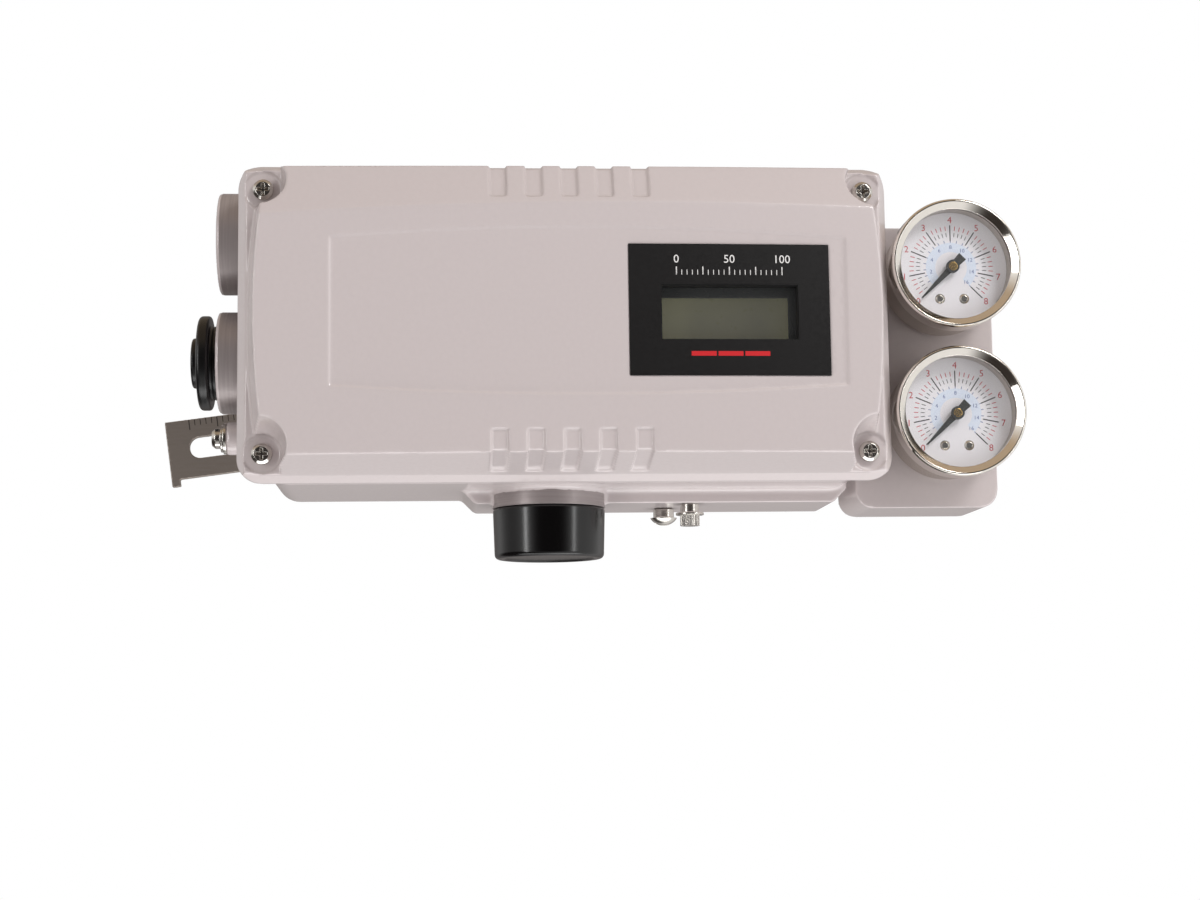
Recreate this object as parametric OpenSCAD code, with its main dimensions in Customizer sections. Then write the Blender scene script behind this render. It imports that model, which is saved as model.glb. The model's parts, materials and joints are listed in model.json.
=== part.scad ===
// Valve positioner: a die-cast case with a screwed cover, a feedback shaft and lever at the rear,
// a block with two pressure gauges at the right, and the converter parts inside.
// Millimetres: +X is right seen from the front, -Y is the front and +Z is up.
// The origin is on the feedback shaft's axis, in the plane of the rear mounting face.

/* [Case] */
// Width of the cover and of the housing flange
cover_w = 215; // [205:1:230]
// Height of the cover and of the housing flange
cover_h = 105; // [102:1:115]
// Corner radius of the cover and the housing
case_corner = 8; // [6:0.5:9]
// Depth of the housing from its rear face to the parting plane
body_d = 60; // [58:1:70]
// How far the housing's sides stand in from the flange
body_inset = 8.5; // [7:0.5:10]
// How far the housing's top stands in from the flange
top_inset = 3; // [2:0.5:4]
// Thickness of the housing's walls
wall = 6.5; // [5.5:0.5:7.5]
// Thickness of the housing's rear floor
floor_t = 6; // [5:0.5:8]
// Thickness of the housing flange
flange_t = 5; // [4:0.5:7]
// Depth of the cast pad under the housing
pad_drop = 4.5; // [3:0.5:6]
// Width of the gasket in its groove
seal_w = 2; // [1.5:0.1:2.4]

/* [Cover] */
// How far the cover's front stands ahead of the parting plane
dome_d = 32; // [28:1:38]
// Depth of the cover's flanged rim
rim_t = 7; // [6:0.5:9]
// Width of the bevel round the rim
rim_bevel = 3; // [2:0.5:4]
// Slope of the cover's side walls, in millimetres per millimetre
dome_draft = 0.16; // [0.08:0.01:0.2]
// How far the cover's side walls bow out between their corners
side_bow = 5; // [3:0.5:7]
// Radius of the bulged front, seen from above
front_r = 2200; // [1600:100:4000]
// Radius of the arched band along the top of the front
roof_r = 1600; // [1200:100:3000]
// Lean of that band from upright, in degrees
roof_tilt = 28; // [20:1:35]
// Height of the arched crease over the middle of the cover
crease_z = 34; // [28:1:36]
// Wall thickness of the cover
cover_wall = 3; // [2.5:0.1:3.5]
// Number of grip grooves at the top, and at the bottom
groove_count = 5; // [3:1:7]
// Spacing of the grip grooves
groove_pitch = 11.4; // [9:0.2:13]
// Width of a grip groove
groove_w = 5.4; // [4:0.2:7]
// Depth of a grip groove
groove_d = 1; // [0.6:0.1:1.4]
// Depth of the large plain panel in the front
panel_d = 0.5; // [0.3:0.1:0.8]
// Distance from the cover's side edge in to a cover screw
screw_in_x = 8.5; // [7:0.5:11]
// Distance from the cover's upper or lower edge in to a cover screw
screw_in_z = 9; // [7:0.5:11]
// Radius of the scooped pocket over a cover screw, at its floor
pocket_r = 6.3; // [5.5:0.1:7]
// Slope of the pocket's flared wall, in millimetres per millimetre
pocket_draft = 0.14; // [0.08:0.01:0.18]

/* [Display] */
// Width of the black display label
label_w = 64.5; // [60:0.5:70]
// Height of the black display label
label_h = 42.4; // [38:0.2:46]
// Distance from the cover's right edge to the middle of the label
label_from_right = 56.9; // [52:0.1:62]
// Width of the window in the label
win_w = 44.2; // [38:0.2:48]
// Height of the window in the label
win_h = 17.9; // [14:0.1:22]
// Thickness of the window glass
pane_t = 4; // [3:0.5:5]

/* [Gauges] */
// Outside radius of a gauge's bezel
bezel_r = 21.75; // [20:0.05:22]
// Distance between the two gauges' centres
gauge_pitch = 49.6; // [47:0.1:54]
// How far the bezels stand ahead of the parting plane
gauge_front = 9; // [6:0.5:12]
// Depth of a gauge from the front of its bezel to its back
gauge_d = 27.5; // [25:0.5:30]
// Gap between the cover's edge and the bezels
gauge_gap = 0.75; // [0.5:0.05:2]
// Sweep of a gauge pointer, in degrees
gauge_sweep = 270; // [240:5:300]

/* [Gauge block] */
// Width of the block that carries the gauges
block_w = 49.2; // [46:0.2:56]
// How far the block's rear face stands ahead of the housing's rear face
block_set = 4; // [2:0.5:6]
// Height of the block
block_h = 97.5; // [92:0.5:105]
// How far the block hangs below the housing
block_drop = 7; // [5:0.5:9]
// Core radius of a tapped air port
port_r = 5.7; // [5:0.1:6.2]
// Depth of a tapped air port
port_depth = 14; // [12:0.5:16]
// Spacing of the three air ports
port_pitch = 23; // [21:0.5:25]

/* [Entries] */
// Radius of a cable entry boss
entry_r = 17.2; // [15:0.1:18]
// Core radius of the tapped cable entry
entry_bore_r = 9.3; // [8:0.1:10.5]
// How far the entry bosses stand out from the housing
entry_out = 17; // [14:0.5:20]
// Spacing of the two cable entries
entry_pitch = 41; // [38:0.5:44]
// Radius of the vent cap under the housing
vent_r = 19; // [16:0.5:21]
// Height of the vent cap
vent_h = 17; // [14:0.5:20]

/* [Feedback] */
// Distance from the housing's left side to the feedback shaft
shaft_from_side = 52; // [48:0.5:56]
// Distance from the housing's underside to the feedback shaft
shaft_from_low = 31.5; // [30:0.5:34]
// Radius of the feedback shaft
shaft_r = 5; // [4:0.1:5.5]
// Length of the lever from the shaft's axis to its end
lever_l = 92.6; // [80:0.2:110]
// Width of the lever
lever_w = 21; // [18:0.5:24]
// Thickness of the lever
lever_t = 3; // [2:0.5:4]
// Width of the slot in the lever
slot_w = 7.5; // [6:0.1:8]
// Distance from the rear face to the front of the lever
lever_back = 10.5; // [9:0.5:14]
// Droop of the lever's free end at rest, in degrees
lever_rest = 7.4; // [0:0.2:20]
// Teeth on the shaft's gear
gear_teeth = 40; // [36:4:40]
// Teeth on the potentiometer's pinion
pinion_teeth = 16; // [14:2:18]
// Module of both gears
gear_module = 1; // [0.8:0.1:1]

/* [Rear mount] */
// Spacing of the four tapped mounting holes, sideways
mount_x = 60; // [56:1:66]
// Spacing of the four tapped mounting holes, upright
mount_z = 50; // [46:1:50]
// Core radius of a mounting hole
mount_r = 3.4; // [3:0.1:3.6]
// Depth of a mounting hole
mount_depth = 14; // [10:1:16]
// Metal left round and beyond a mounting hole
mount_wall = 3; // [2.5:0.5:3.5]

/* [Fits] */
// Radial clearance of a turning or sliding fit
run_gap = 0.04; // [0.02:0.01:0.08]
// Radial clearance of a fixed fit
fit_gap = 0.05; // [0.02:0.01:0.1]
// Gap left between parts that come apart or move past each other
free_gap = 0.3; // [0.2:0.05:0.5]

/* [Hidden] */
$fn = 64;
BIG_FN = 720;
PAINT = "#cbc4c2";
STEEL = "#b9b9b6";
BRASS = "#c9a856";
BLACK = "#1d1d1f";
ALLOY = "#a9abad";

// The case frame has its origin in the middle of the parting plane, with +Y to the rear.
half_w = cover_w / 2;
half_h = cover_h / 2;
body_x = half_w - body_inset;
body_top = half_h - top_inset;
body_low = -half_h;
cav_x = body_x - wall;
cav_top = body_top - wall;
cav_low = body_low + wall;
floor_y = body_d - floor_t;
flange_in = 0.5;
pad_low = body_low - pad_drop;
pad_x = [-30, body_x - 2 - pad_drop];
pad_y = 24;
shaft_x = -body_x + shaft_from_side;
shaft_z = body_low + shaft_from_low;
recess_x = [shaft_x + mount_x / 2 + 14, body_x - 10];
recess_z = [body_low + 12, body_top - 12];
recess_d = 2;
into = wall / 2;

// Cover and its screws
screw_x = half_w - screw_in_x;
screw_z = half_h - screw_in_z;
screw_r = 2;
screw_head_r = 3.4;
screw_head_h = 2.6;
screw_l = 16;
screw_seat = rim_t - 1;
head_side = 0.6;
head_top = 0.72;
cross_w = 0.28;
cross_l = 1.15;
cross_floor = 0.35;
lug_r = 5;
lug_d = 15;
dome_x = half_w - 2.5;
dome_z = half_h - 1.2;
dome_reach = dome_d + 4;
bow_r = (dome_z * dome_z + side_bow * side_bow) / (2 * side_bow);
rim_edge = 2;
land_t = 5;
roof_peak = 10;
panel_x = [-76.3, 88.4];
panel_bow_r = 1100;
panel_mid_z = -1;
panel_half_z = 27;
label_x = half_w - label_from_right;
label_z = -0.8;
label_t = 0.8;
label_seat = 0.5;
win_z = label_z - 0.85;
pane_lap = 3;
frame_lap = 5.5;
frame_t = 1.5;
seat_y = -dome_d + cover_wall + 2 + pane_t;
seal_in = 1;
seal_d = 1.5;
seal_proud = 0.25;
groove_top = crease_z + 2;
groove_low = dome_draft * dome_d - dome_z + 7.5;

// Gauges and their block
gauge_x = half_w + gauge_gap + bezel_r;
gauge_z = -5.45;
gauge_upper_z = gauge_z + gauge_pitch / 2;
gauge_lower_z = gauge_z - gauge_pitch / 2;
gauge_case_r = bezel_r - 1.55;
gauge_wall = 1.2;
lip_t = 2.4;
lens_t = 2;
lens_back = -gauge_front + lip_t + lens_t;
dial_y = lens_back + 4.6;
dial_t = 0.8;
gauge_back = gauge_d - gauge_front;
stem_r = 4.85;
stem_l = 9;
stem_hex_r = 6.3;
arbor_r = 1;
movement_w = 14;
movement_h = 10;
tube_bend_r = 12;
tube_r = 1.4;
tube_y = gauge_back - 6;
tube_sweep = 250;
block_gap = 3.5;
block_y = [gauge_back + block_gap, body_d - block_set];
gasket_t = 0.8;
block_x = [body_x + gasket_t, body_x + gasket_t + block_w];
block_z = [body_low - block_drop, body_low - block_drop + block_h];
block_corner = 6;
gauge_boss_r = 9;
gauge_boss_h = 1.5;
port_y = block_y[1] - 13;
port_z = [for (i = [-1:1]) -2.5 + i * port_pitch];
port_face = block_x[1] + 1.5;
port_boss_r = port_r + 3.5;
duct_r = 2.5;
block_screw_r = 2.5;
block_head_r = 4.25;
block_head_h = 5;
block_socket_r = 2.3;
block_screw_y = [block_y[0] + 6, block_y[1] - 5];
block_screw_z = [block_z[0] + 13.5, block_z[1] - 5];
block_screw_seat = block_x[0] + 8;

// Cable entries, vent and the small screws outside
entry_y = 26;
entry_in = 17;
entry_z = [body_top - entry_in - entry_pitch, body_top - entry_in];
entry_face = -body_x - entry_out;
plug_l = 14;
plug_neck = 2.6;
plug_neck_r = entry_bore_r + 3.3;
plug_flange_r = entry_r - 1.2;
plug_flange_t = 3;
plug_edge = 1;
plug_hub_r = entry_r - 8.7;
plug_hub_l = 2.4;
vent_x = -5;
vent_y = 27;
vent_low = body_low - 6;
vent_neck_r = 12;
vent_neck_l = 7.5;
vent_bore_r = 8;
vent_floor = 3;
vent_edge = 2.5;
vent_seat = vent_low - 0.2;
earth_y = 20;
earth_below = 26.5;
earth_z = entry_z[0] - earth_below;
earth_face = -body_x - 13.7;
earth_pad_r = 5.5;
earth_stack = 2;
low_screw_x = 43.5;
low_screw_y = 30;
spacer_r = 3.2;
spacer_h = 3;
low_head_r = 3.35;
low_head_h = 3.7;
knurl_count = 18;
knurl_r = 0.3;
auto_x = 36.1;
auto_y = floor_y - 8;
auto_r = 3;
auto_head_r = 4.7;
auto_neck_h = 3;
auto_dome_h = 2.7;
auto_dome_r = (auto_head_r * auto_head_r + auto_dome_h * auto_dome_h) / (2 * auto_dome_h);

// Circuit board and what stands on it
pcb_y = [4, 5.6];
pcb_x = [-cav_x + 4.5, cav_x - 4.5];
pcb_z = [cav_low + 4, cav_top - 4];
pcb_corner = 4;
pillar_in = 4;
pillar_r = 3.2;
pillar_x = [pcb_x[0] + pillar_in, 0, pcb_x[1] - 2 * pillar_in];
pillar_low = pcb_z[0] + pillar_in;
pillar_top = [(entry_z[0] + entry_z[1]) / 2, pcb_z[1] - pillar_in, pcb_z[1] - pillar_in];
pillar_xz = [for (i = [0:2], z = [pillar_low, pillar_top[i]]) [pillar_x[i], z]];
pillar_bore = 1.5;
pillar_screw_l = 9;
lcd_front = -4;
lcd_edge = 5;
button_pitch = 12;
button_x = [for (i = [0:3]) label_x + (i - 1.5) * button_pitch];
button_z = -29;
button_r = 1.7;
button_side = 6.5;
button_base = [0, pcb_y[0]];
button_out = 3.5;
pole_count = 8;
pole_pitch = 5;
terminal_x = pcb_x[0] + 9;
terminal_h = 14;
terminal_z = [pcb_z[0] + 10, pcb_z[0] + 10 + terminal_h];
terminal_front = -7;
terminal_hole_r = 2;
terminal_hole_d = 6;
terminal_hole_z = terminal_z[1] - 5;
wire_w = 3.4;
wire_d = 5;

// Torque motor, pilot valve and position sensor
motor_x = 28;
motor_z = 18;
motor_w = 36;
motor_h = 32;
pole_w = 8;
yoke_t = 4;
yoke_lug = 3;
core_r = 4.5;
coil_r = 8.5;
pole_y = floor_y - 22;
beam_y = pole_y - 4.25;
beam_t = 1.5;
beam_w = 10;
beam_hub_r = 3;
pin_r = 1.5;
nozzle_x = motor_x + motor_w / 2 + 4;
nozzle_r = 3;
nozzle_tip = 5.5;
pilot_w = 26.5;
pilot_x = [cav_x - pilot_w, cav_x];
pilot_y = [floor_y - 28, floor_y];
pilot_clear = 0.3;
cap_t = [1.5, 2.5];
cap_r = 9;
cap_plug = 4;
pilot_z = [pillar_low + pillar_r + pilot_clear + cap_t[0], pillar_top[2] - pillar_r - pilot_clear - cap_t[1]];
spool_r = 6;
spool_y = (pilot_y[0] + pilot_y[1]) / 2;
spool_x = (pilot_x[0] + pilot_x[1]) / 2;
spool_room = 9;
spool_z = [pilot_z[0] + spool_room, pilot_z[1] - spool_room];
spool_land = 6;
spool_groove = 8;
spool_waist = spool_r - 2.5;
gear_y = [26, 30];
gear_r = gear_teeth * gear_module / 2;
pinion_r = pinion_teeth * gear_module / 2;
pressure_angle = 20;
tooth_share = 82.3;
pot_z = shaft_z + gear_r + pinion_r;
pot_r = 11;
pot_y = [34, 48];
pot_shaft_r = 3;
pot_plate = [32, 34];
pot_plate_h = 24;
pot_nose_r = 4.5;
pot_leg_x = [shaft_x - 22, shaft_x + 22];
pot_leg_t = 2.5;
pot_leg_w = 12;
pot_foot = 8;
pot_foot_t = 2;
pot_screw_r = 1.25;
pot_screw_head = 2.2;
pot_screw_l = 5;

// Feedback shaft
boss_r = 12;
boss_y = 39;
bush_r = shaft_r + 2;
bush_flange = [shaft_r + 4.5, 1.5];
bush_l = 9;
hub_r = 9;
hub_end = boss_y - bush_flange[1] - free_gap;
ring_y = [gear_y[0] - 1.3, gear_y[0] - 0.3];
lever_y = body_d + lever_back;
lever_end = lever_y + lever_t;
lever_tab = [3, 2.5];
stud_r = shaft_r - 1;
washer_r = stud_r + 3.4;
washer_t = 1.6;
nut_h = 6.5;
nut_af = 13;
nut_y = lever_end + washer_t;
slot_r = [32, lever_l - 11.4];

// Puts a shape drawn in the case frame into the part's frame.
module in_case() translate([-shaft_x, -body_d, -shaft_z]) children();

// Extrudes an outline drawn in X and Z from y0 to y1.
module y_prism(y0, y1) translate([0, y1, 0]) rotate([90, 0, 0]) linear_extrude(y1 - y0) children();

// Extrudes an outline drawn in Y and Z from x0 to x1.
module x_prism(x0, x1) translate([x0, 0, 0]) rotate([90, 0, 90]) linear_extrude(x1 - x0) children();

// Round bars along each axis.
module x_rod(r, x0, x1) translate([x0, 0, 0]) rotate([0, 90, 0]) cylinder(r = r, h = x1 - x0);
module y_rod(r, y0, y1) translate([0, y0, 0]) rotate([-90, 0, 0]) cylinder(r = r, h = y1 - y0);
module z_rod(r, z0, z1) translate([0, 0, z0]) cylinder(r = r, h = z1 - z0);

// Turns an outline drawn in radius and Y about the Y axis.
module y_turn() rotate([-90, 0, 0]) rotate_extrude() children();

// A box given by its ranges on X, Y and Z.
module slab(x, y, z) translate([x[0], y[0], z[0]]) cube([x[1] - x[0], y[1] - y[0], z[1] - z[0]]);

// A rounded rectangle given by its ranges.
module round_rect(x, z, r) {
    translate([x[0] + r, z[0]]) square([x[1] - x[0] - 2 * r, z[1] - z[0]]);
    translate([x[0], z[0] + r]) square([x[1] - x[0], z[1] - z[0] - 2 * r]);
    for (cx = [x[0] + r, x[1] - r], cz = [z[0] + r, z[1] - r]) translate([cx, cz]) circle(r);
}

// The range that lies a distance g outside the range v.
function grow(v, g) = [v[0] - g, v[1] + g];

// The range of a length w about a middle c.
function about(c, w) = [c - w / 2, c + w / 2];

// Repeats a shape at the four cover screws, in the XZ plane.
module at_cover_screws() for (sx = [-1, 1], sz = [-1, 1])
    translate([sx * screw_x, 0, sz * screw_z]) children();

// Repeats a shape at the four rear mounting holes.
module at_mount_holes() for (sx = [-1, 1], sz = [-1, 1])
    translate([shaft_x + sx * mount_x / 2, 0, shaft_z + sz * mount_z / 2]) children();

// Repeats a shape at the screws of the gauge block, in the YZ plane.
module at_block_screws() for (y = block_screw_y, z = block_screw_z) translate([0, y, z]) children();

// Repeats a shape at the air ports, in the YZ plane.
module at_ports() for (z = port_z) translate([0, port_y, z]) children();

// Repeats a shape at the two feet of the sensor's bracket.
module at_pot_feet() for (s = [0, 1])
    translate([pot_leg_x[s] + (1 - 2 * s) * (pot_foot + pot_leg_t) / 2, floor_y - pot_foot_t, pot_z])
    children();

// The opening of the housing and of the cover at the parting plane.
module cavity_outline(g = 0)
    round_rect([-cav_x - g, cav_x + g], [cav_low - g, cav_top + g], case_corner - 2);

// Outside of the housing, before it is hollowed.
module housing_body() {
    y_prism(0, flange_t) round_rect([-half_w + flange_in, half_w - flange_in],
        [-half_h + flange_in, half_h - flange_in], case_corner);
    y_prism(0, body_d) round_rect([-body_x, body_x], [body_low, body_top], case_corner);
    y_prism(pad_y, body_d) polygon([[pad_x[0] - pad_drop, body_low + into],
        [pad_x[0] - pad_drop, body_low], [pad_x[0], pad_low], [pad_x[1], pad_low],
        [pad_x[1] + pad_drop, body_low], [pad_x[1] + pad_drop, body_low + into]]);
    at_cover_screws() y_rod(lug_r, 0, lug_d);
    for (z = entry_z) translate([0, entry_y, z]) x_rod(entry_r, entry_face, -body_x + into);
    translate([0, earth_y, earth_z]) x_rod(earth_pad_r, earth_face, -body_x + into);
    translate([vent_x, vent_y, 0]) z_rod(vent_r, vent_low, body_low + into);
    translate([vent_x, vent_y, 0]) z_rod(vent_neck_r, vent_low - vent_neck_l, body_low);
}

// Die-cast housing, open at the front.
module base_housing() color(PAINT) in_case() difference() {
    union() {
        difference() {
            housing_body();
            y_prism(-1, floor_y) cavity_outline();
        }
        intersection() {
            at_mount_holes()
                y_rod(mount_r + mount_wall, body_d - mount_depth - mount_wall, body_d - floor_t / 2);
            y_prism(0, body_d) round_rect([-body_x, body_x], [body_low, body_top], case_corner);
        }
        translate([shaft_x, 0, shaft_z]) y_rod(boss_r, boss_y, body_d - floor_t / 2);
    }
    difference() {
        y_prism(-1, seal_d) cavity_outline(seal_in + seal_w);
        y_prism(-2, seal_d + 1) cavity_outline(seal_in);
    }
    at_cover_screws() y_rod(screw_r + 2 * fit_gap, -1, screw_l - screw_seat + 2);
    at_mount_holes() y_rod(mount_r, body_d - mount_depth, body_d + 1);
    translate([shaft_x, 0, shaft_z]) y_rod(bush_r + fit_gap, boss_y - 1, body_d + 1);
    for (z = entry_z) translate([0, entry_y, z]) x_rod(entry_bore_r, entry_face - 1, -cav_x + 1);
    translate([0, earth_y, earth_z]) x_rod(screw_r + fit_gap, earth_face - 1, earth_face + 12);
    translate([vent_x, vent_y, 0]) z_rod(vent_bore_r, vent_low - vent_neck_l - 1, cav_low + 1);
    translate([low_screw_x, low_screw_y, 0]) z_rod(screw_r + fit_gap, pad_low - 1, pad_low + 9);
    translate([auto_x, auto_y, 0]) z_rod(auto_r + run_gap, pad_low - 1, cav_low + 1);
    at_block_screws() x_rod(block_screw_r + fit_gap, cav_x - 1, body_x + 1);
    at_ports() x_rod(duct_r, cav_x - 1, body_x + 1);
    at_pot_feet() y_rod(pot_screw_r + fit_gap, 0, pot_screw_l + 0.5);
    slab(recess_x, [body_d - recess_d, body_d + 1], recess_z);
}

// Cord gasket in the groove of the housing flange.
module cover_gasket() color(BLACK) in_case() difference() {
    y_prism(-seal_proud, seal_d) cavity_outline(seal_in + seal_w - fit_gap);
    y_prism(-seal_proud - 1, seal_d + 1) cavity_outline(seal_in + fit_gap);
}

// Inside of the bulged front surface, moved in by i.
module front_form(i) translate([0, front_r - dome_d, 0])
    cylinder(r = front_r - i, h = 2 * cover_h, center = true, $fn = BIG_FN);

// Inside of the arched band that leans back over the crease, moved in by i.
module roof_form(i)
    translate([roof_peak, cos(roof_tilt) * roof_r - dome_d, crease_z - sin(roof_tilt) * roof_r])
    rotate([-roof_tilt, 0, 0]) cylinder(r = roof_r - i, h = 6 * cover_h, center = true, $fn = BIG_FN);

// Inside of one bowed and drafted side wall of the cover, moved in by i; s is -1 or 1.
module side_form(s, i) translate([s * (dome_x - i - bow_r), -free_gap, 0]) rotate([90, 0, 0])
    cylinder(r1 = bow_r, r2 = bow_r - dome_draft * dome_reach, h = dome_reach, $fn = BIG_FN);

// The cover's drafted dome, moved in by i on every side.
module dome_form(i) intersection() {
    x_prism(-half_w, half_w) polygon([[-free_gap, i - dome_z],
        [-dome_reach, i - dome_z + dome_draft * dome_reach],
        [-dome_reach, dome_z - i - dome_draft * dome_reach], [-free_gap, dome_z - i]]);
    side_form(-1, i);
    side_form(1, i);
    front_form(i);
    roof_form(i);
}

// The flat rim of the cover with its bevelled edge.
module rim_form() intersection() {
    y_prism(-rim_t, -free_gap) round_rect([-half_w, half_w], [-half_h, half_h], case_corner);
    x_prism(-half_w, half_w) polygon([[0, -half_h], [-rim_edge, -half_h], [-rim_t, rim_bevel - half_h],
        [-rim_t, half_h - rim_bevel], [-rim_edge, half_h], [0, half_h]]);
    linear_extrude(2 * cover_h, center = true) polygon([[-half_w, 0], [-half_w, -rim_edge],
        [rim_bevel - half_w, -rim_t], [half_w - rim_bevel, -rim_t], [half_w, -rim_edge], [half_w, 0]]);
}

// Radius of a cover screw's flared pocket at depth y, grown by g.
function pocket_at(y, g) = pocket_r + g - pocket_draft * (screw_seat + y);

// The flared pocket over a cover screw, grown by g, from depth y to beyond the front.
module pocket_form(g, y) translate([0, y, 0]) rotate([90, 0, 0])
    cylinder(h = dome_reach + 3 + y, r1 = pocket_at(y, g), r2 = pocket_at(-dome_reach - 3, g));

// Space inside the cover, with solid metal left round the screw pockets.
module cover_hollow() difference() {
    union() {
        intersection() {
            dome_form(cover_wall);
            slab([-half_w, half_w], [-dome_reach, -land_t], [-half_h, half_h]);
        }
        y_prism(-land_t - 1, 1) cavity_outline();
    }
    at_pockets() pocket_form(cover_wall, 1);
}

// Puts a shape on the upper right cover screw, and its mirror images on the other three.
module at_pockets() for (sx = [0, 1], sz = [0, 1]) mirror([sx, 0, 0]) mirror([0, 0, sz])
    translate([screw_x, 0, screw_z]) children();

// Grip grooves across the top and bottom edges of the cover.
module grip_grooves() difference() {
    for (i = [0:groove_count - 1], z = [[groove_top, half_h], [-half_h, groove_low]])
        slab(about((i - (groove_count - 1) / 2) * groove_pitch, groove_w), [-dome_reach, -rim_t - 2], z);
    dome_form(groove_d);
}

// Inside of the panel's bowed upper edge, s = 1, or lower edge, s = -1.
module panel_edge(s)
    translate([(panel_x[0] + panel_x[1]) / 2, 0, panel_mid_z + s * (panel_half_z - panel_bow_r)])
    rotate([90, 0, 0]) cylinder(r = panel_bow_r, h = 3 * dome_d, center = true, $fn = BIG_FN);

// Shallow plain panel in the front, with bowed upper and lower edges.
module front_panel() difference() {
    intersection() {
        slab(panel_x, [-dome_reach, -dome_d / 2], [-half_h, half_h]);
        panel_edge(1);
        panel_edge(-1);
    }
    front_form(panel_d);
}

// A shape of the display label's outline that lies below the front by i.
module label_form(w, h, i) intersection() {
    slab(about(label_x, w), [-dome_reach, -dome_d / 2], about(label_z, h));
    front_form(i);
}

// The window's outline as ranges, grown by g.
function win_range_x(g) = grow(about(label_x, win_w), g);
function win_range_z(g) = grow(about(win_z, win_h), g);

// Die-cast front cover.
module cover_shell() color(PAINT) in_case() difference() {
    union() {
        difference() {
            union() {
                rim_form();
                dome_form(0);
            }
            cover_hollow();
        }
        intersection() {
            dome_form(cover_wall / 2);
            slab(win_range_x(frame_lap), [-dome_reach, seat_y], win_range_z(frame_lap));
        }
    }
    at_pockets() {
        pocket_form(0, -screw_seat);
        slab([0, screw_in_x], [-dome_reach, -rim_t], [-pocket_r, screw_in_z]);
        slab([-pocket_r, screw_in_x], [-dome_reach, -rim_t], [0, screw_in_z]);
    }
    at_cover_screws() y_rod(screw_r + free_gap, -dome_reach, 1);
    grip_grooves();
    front_panel();
    difference() {
        slab(about(label_x, label_w + 2 * fit_gap), [-dome_reach, -dome_d / 2],
            about(label_z, label_h + 2 * fit_gap));
        front_form(panel_d + label_seat + fit_gap / 2);
    }
    slab(win_range_x(0), [-dome_reach, seat_y + 1], win_range_z(0));
    slab(win_range_x(pane_lap), [seat_y - pane_t, seat_y + 1], win_range_z(pane_lap));
}

// A screw along Y, its head towards -Y with a cross recess; the head's seat is at y = 0.
module pan_screw(r, head_r, head_h, l) difference() {
    union() {
        y_rod(r, -head_h / 2, l);
        y_rod(head_r, -head_h * head_side, 0);
        translate([0, -head_h, 0]) rotate([-90, 0, 0])
            cylinder(r1 = head_r * head_top, r2 = head_r, h = head_h * (1 - head_side));
    }
    for (a = [0, 90]) rotate([0, a, 0])
        slab(about(0, head_r * cross_w), [-head_h - 1, -head_h * cross_floor], about(0, head_r * cross_l));
}

// The four captive screws of the cover.
module cover_screws() color(STEEL) in_case() at_cover_screws()
    translate([0, -screw_seat, 0]) pan_screw(screw_r, screw_head_r, screw_head_h, screw_l);

// Printed display label, with its window cut out.
module display_label() color(BLACK) in_case() difference() {
    label_form(label_w, label_h, panel_d + label_seat - label_t);
    front_form(panel_d + label_seat);
    slab(win_range_x(0), [-dome_reach, 0], win_range_z(0));
}

// Toughened glass behind the display opening.
module display_window() color("#9fb4b0", 0.4) in_case()
    slab(win_range_x(pane_lap - 2 * fit_gap), [seat_y - pane_t, seat_y],
        win_range_z(pane_lap - 2 * fit_gap));

// Frame that holds the glass from inside the cover.
module window_frame() color(BLACK) in_case() difference() {
    slab(win_range_x(frame_lap), [seat_y, seat_y + frame_t], win_range_z(frame_lap));
    slab(win_range_x(1), [seat_y - 1, seat_y + frame_t + 1], win_range_z(1));
}

// Die-cast block that carries the gauges and the air ports.
module gauge_block() color(PAINT) in_case() difference() {
    union() {
        y_prism(block_y[0], block_y[1]) round_rect(block_x, block_z, block_corner);
        for (z = [gauge_lower_z, gauge_upper_z]) translate([gauge_x, 0, z])
            y_rod(gauge_boss_r, block_y[0] - gauge_boss_h, block_y[0] + 2);
        at_ports() x_rod(port_boss_r, block_x[1] - 4, port_face);
    }
    for (z = [gauge_lower_z, gauge_upper_z]) translate([gauge_x, 0, z])
        y_rod(stem_r + fit_gap, block_y[0] - 2 * gauge_boss_h, block_y[0] + stem_l + 1);
    at_ports() {
        x_rod(port_r, port_face - port_depth, port_face + 1);
        x_rod(duct_r, block_x[0] - 1, port_face - port_depth + 1);
    }
    at_block_screws() {
        x_rod(block_screw_r + free_gap, block_x[0] - 1, block_x[1] + 1);
        x_rod(block_head_r + free_gap, block_screw_seat, port_face + 1);
    }
}

// Flat gasket between the housing and the gauge block.
module block_gasket() color(BLACK) in_case() difference() {
    slab([body_x, block_x[0]], grow(block_y, -1), [body_low + case_corner, block_z[1] - 1]);
    at_block_screws() x_rod(block_screw_r + free_gap, body_x - 1, block_x[0] + 1);
    at_ports() x_rod(duct_r, body_x - 1, block_x[0] + 1);
}

// Socket screws that hold the gauge block, from the right.
module block_screws() color(STEEL) in_case() at_block_screws() difference() {
    union() {
        x_rod(block_screw_r, cav_x + 0.5, block_screw_seat + 1);
        x_rod(block_head_r, block_screw_seat, block_screw_seat + block_head_h);
    }
    translate([block_screw_seat + block_head_h / 2, 0, 0]) rotate([0, 90, 0])
        cylinder(r = block_socket_r, h = block_head_h, $fn = 6);
}

// Puts a gauge piece at the height z.
module at_gauge(z) in_case() translate([gauge_x, 0, z]) children();

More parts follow.
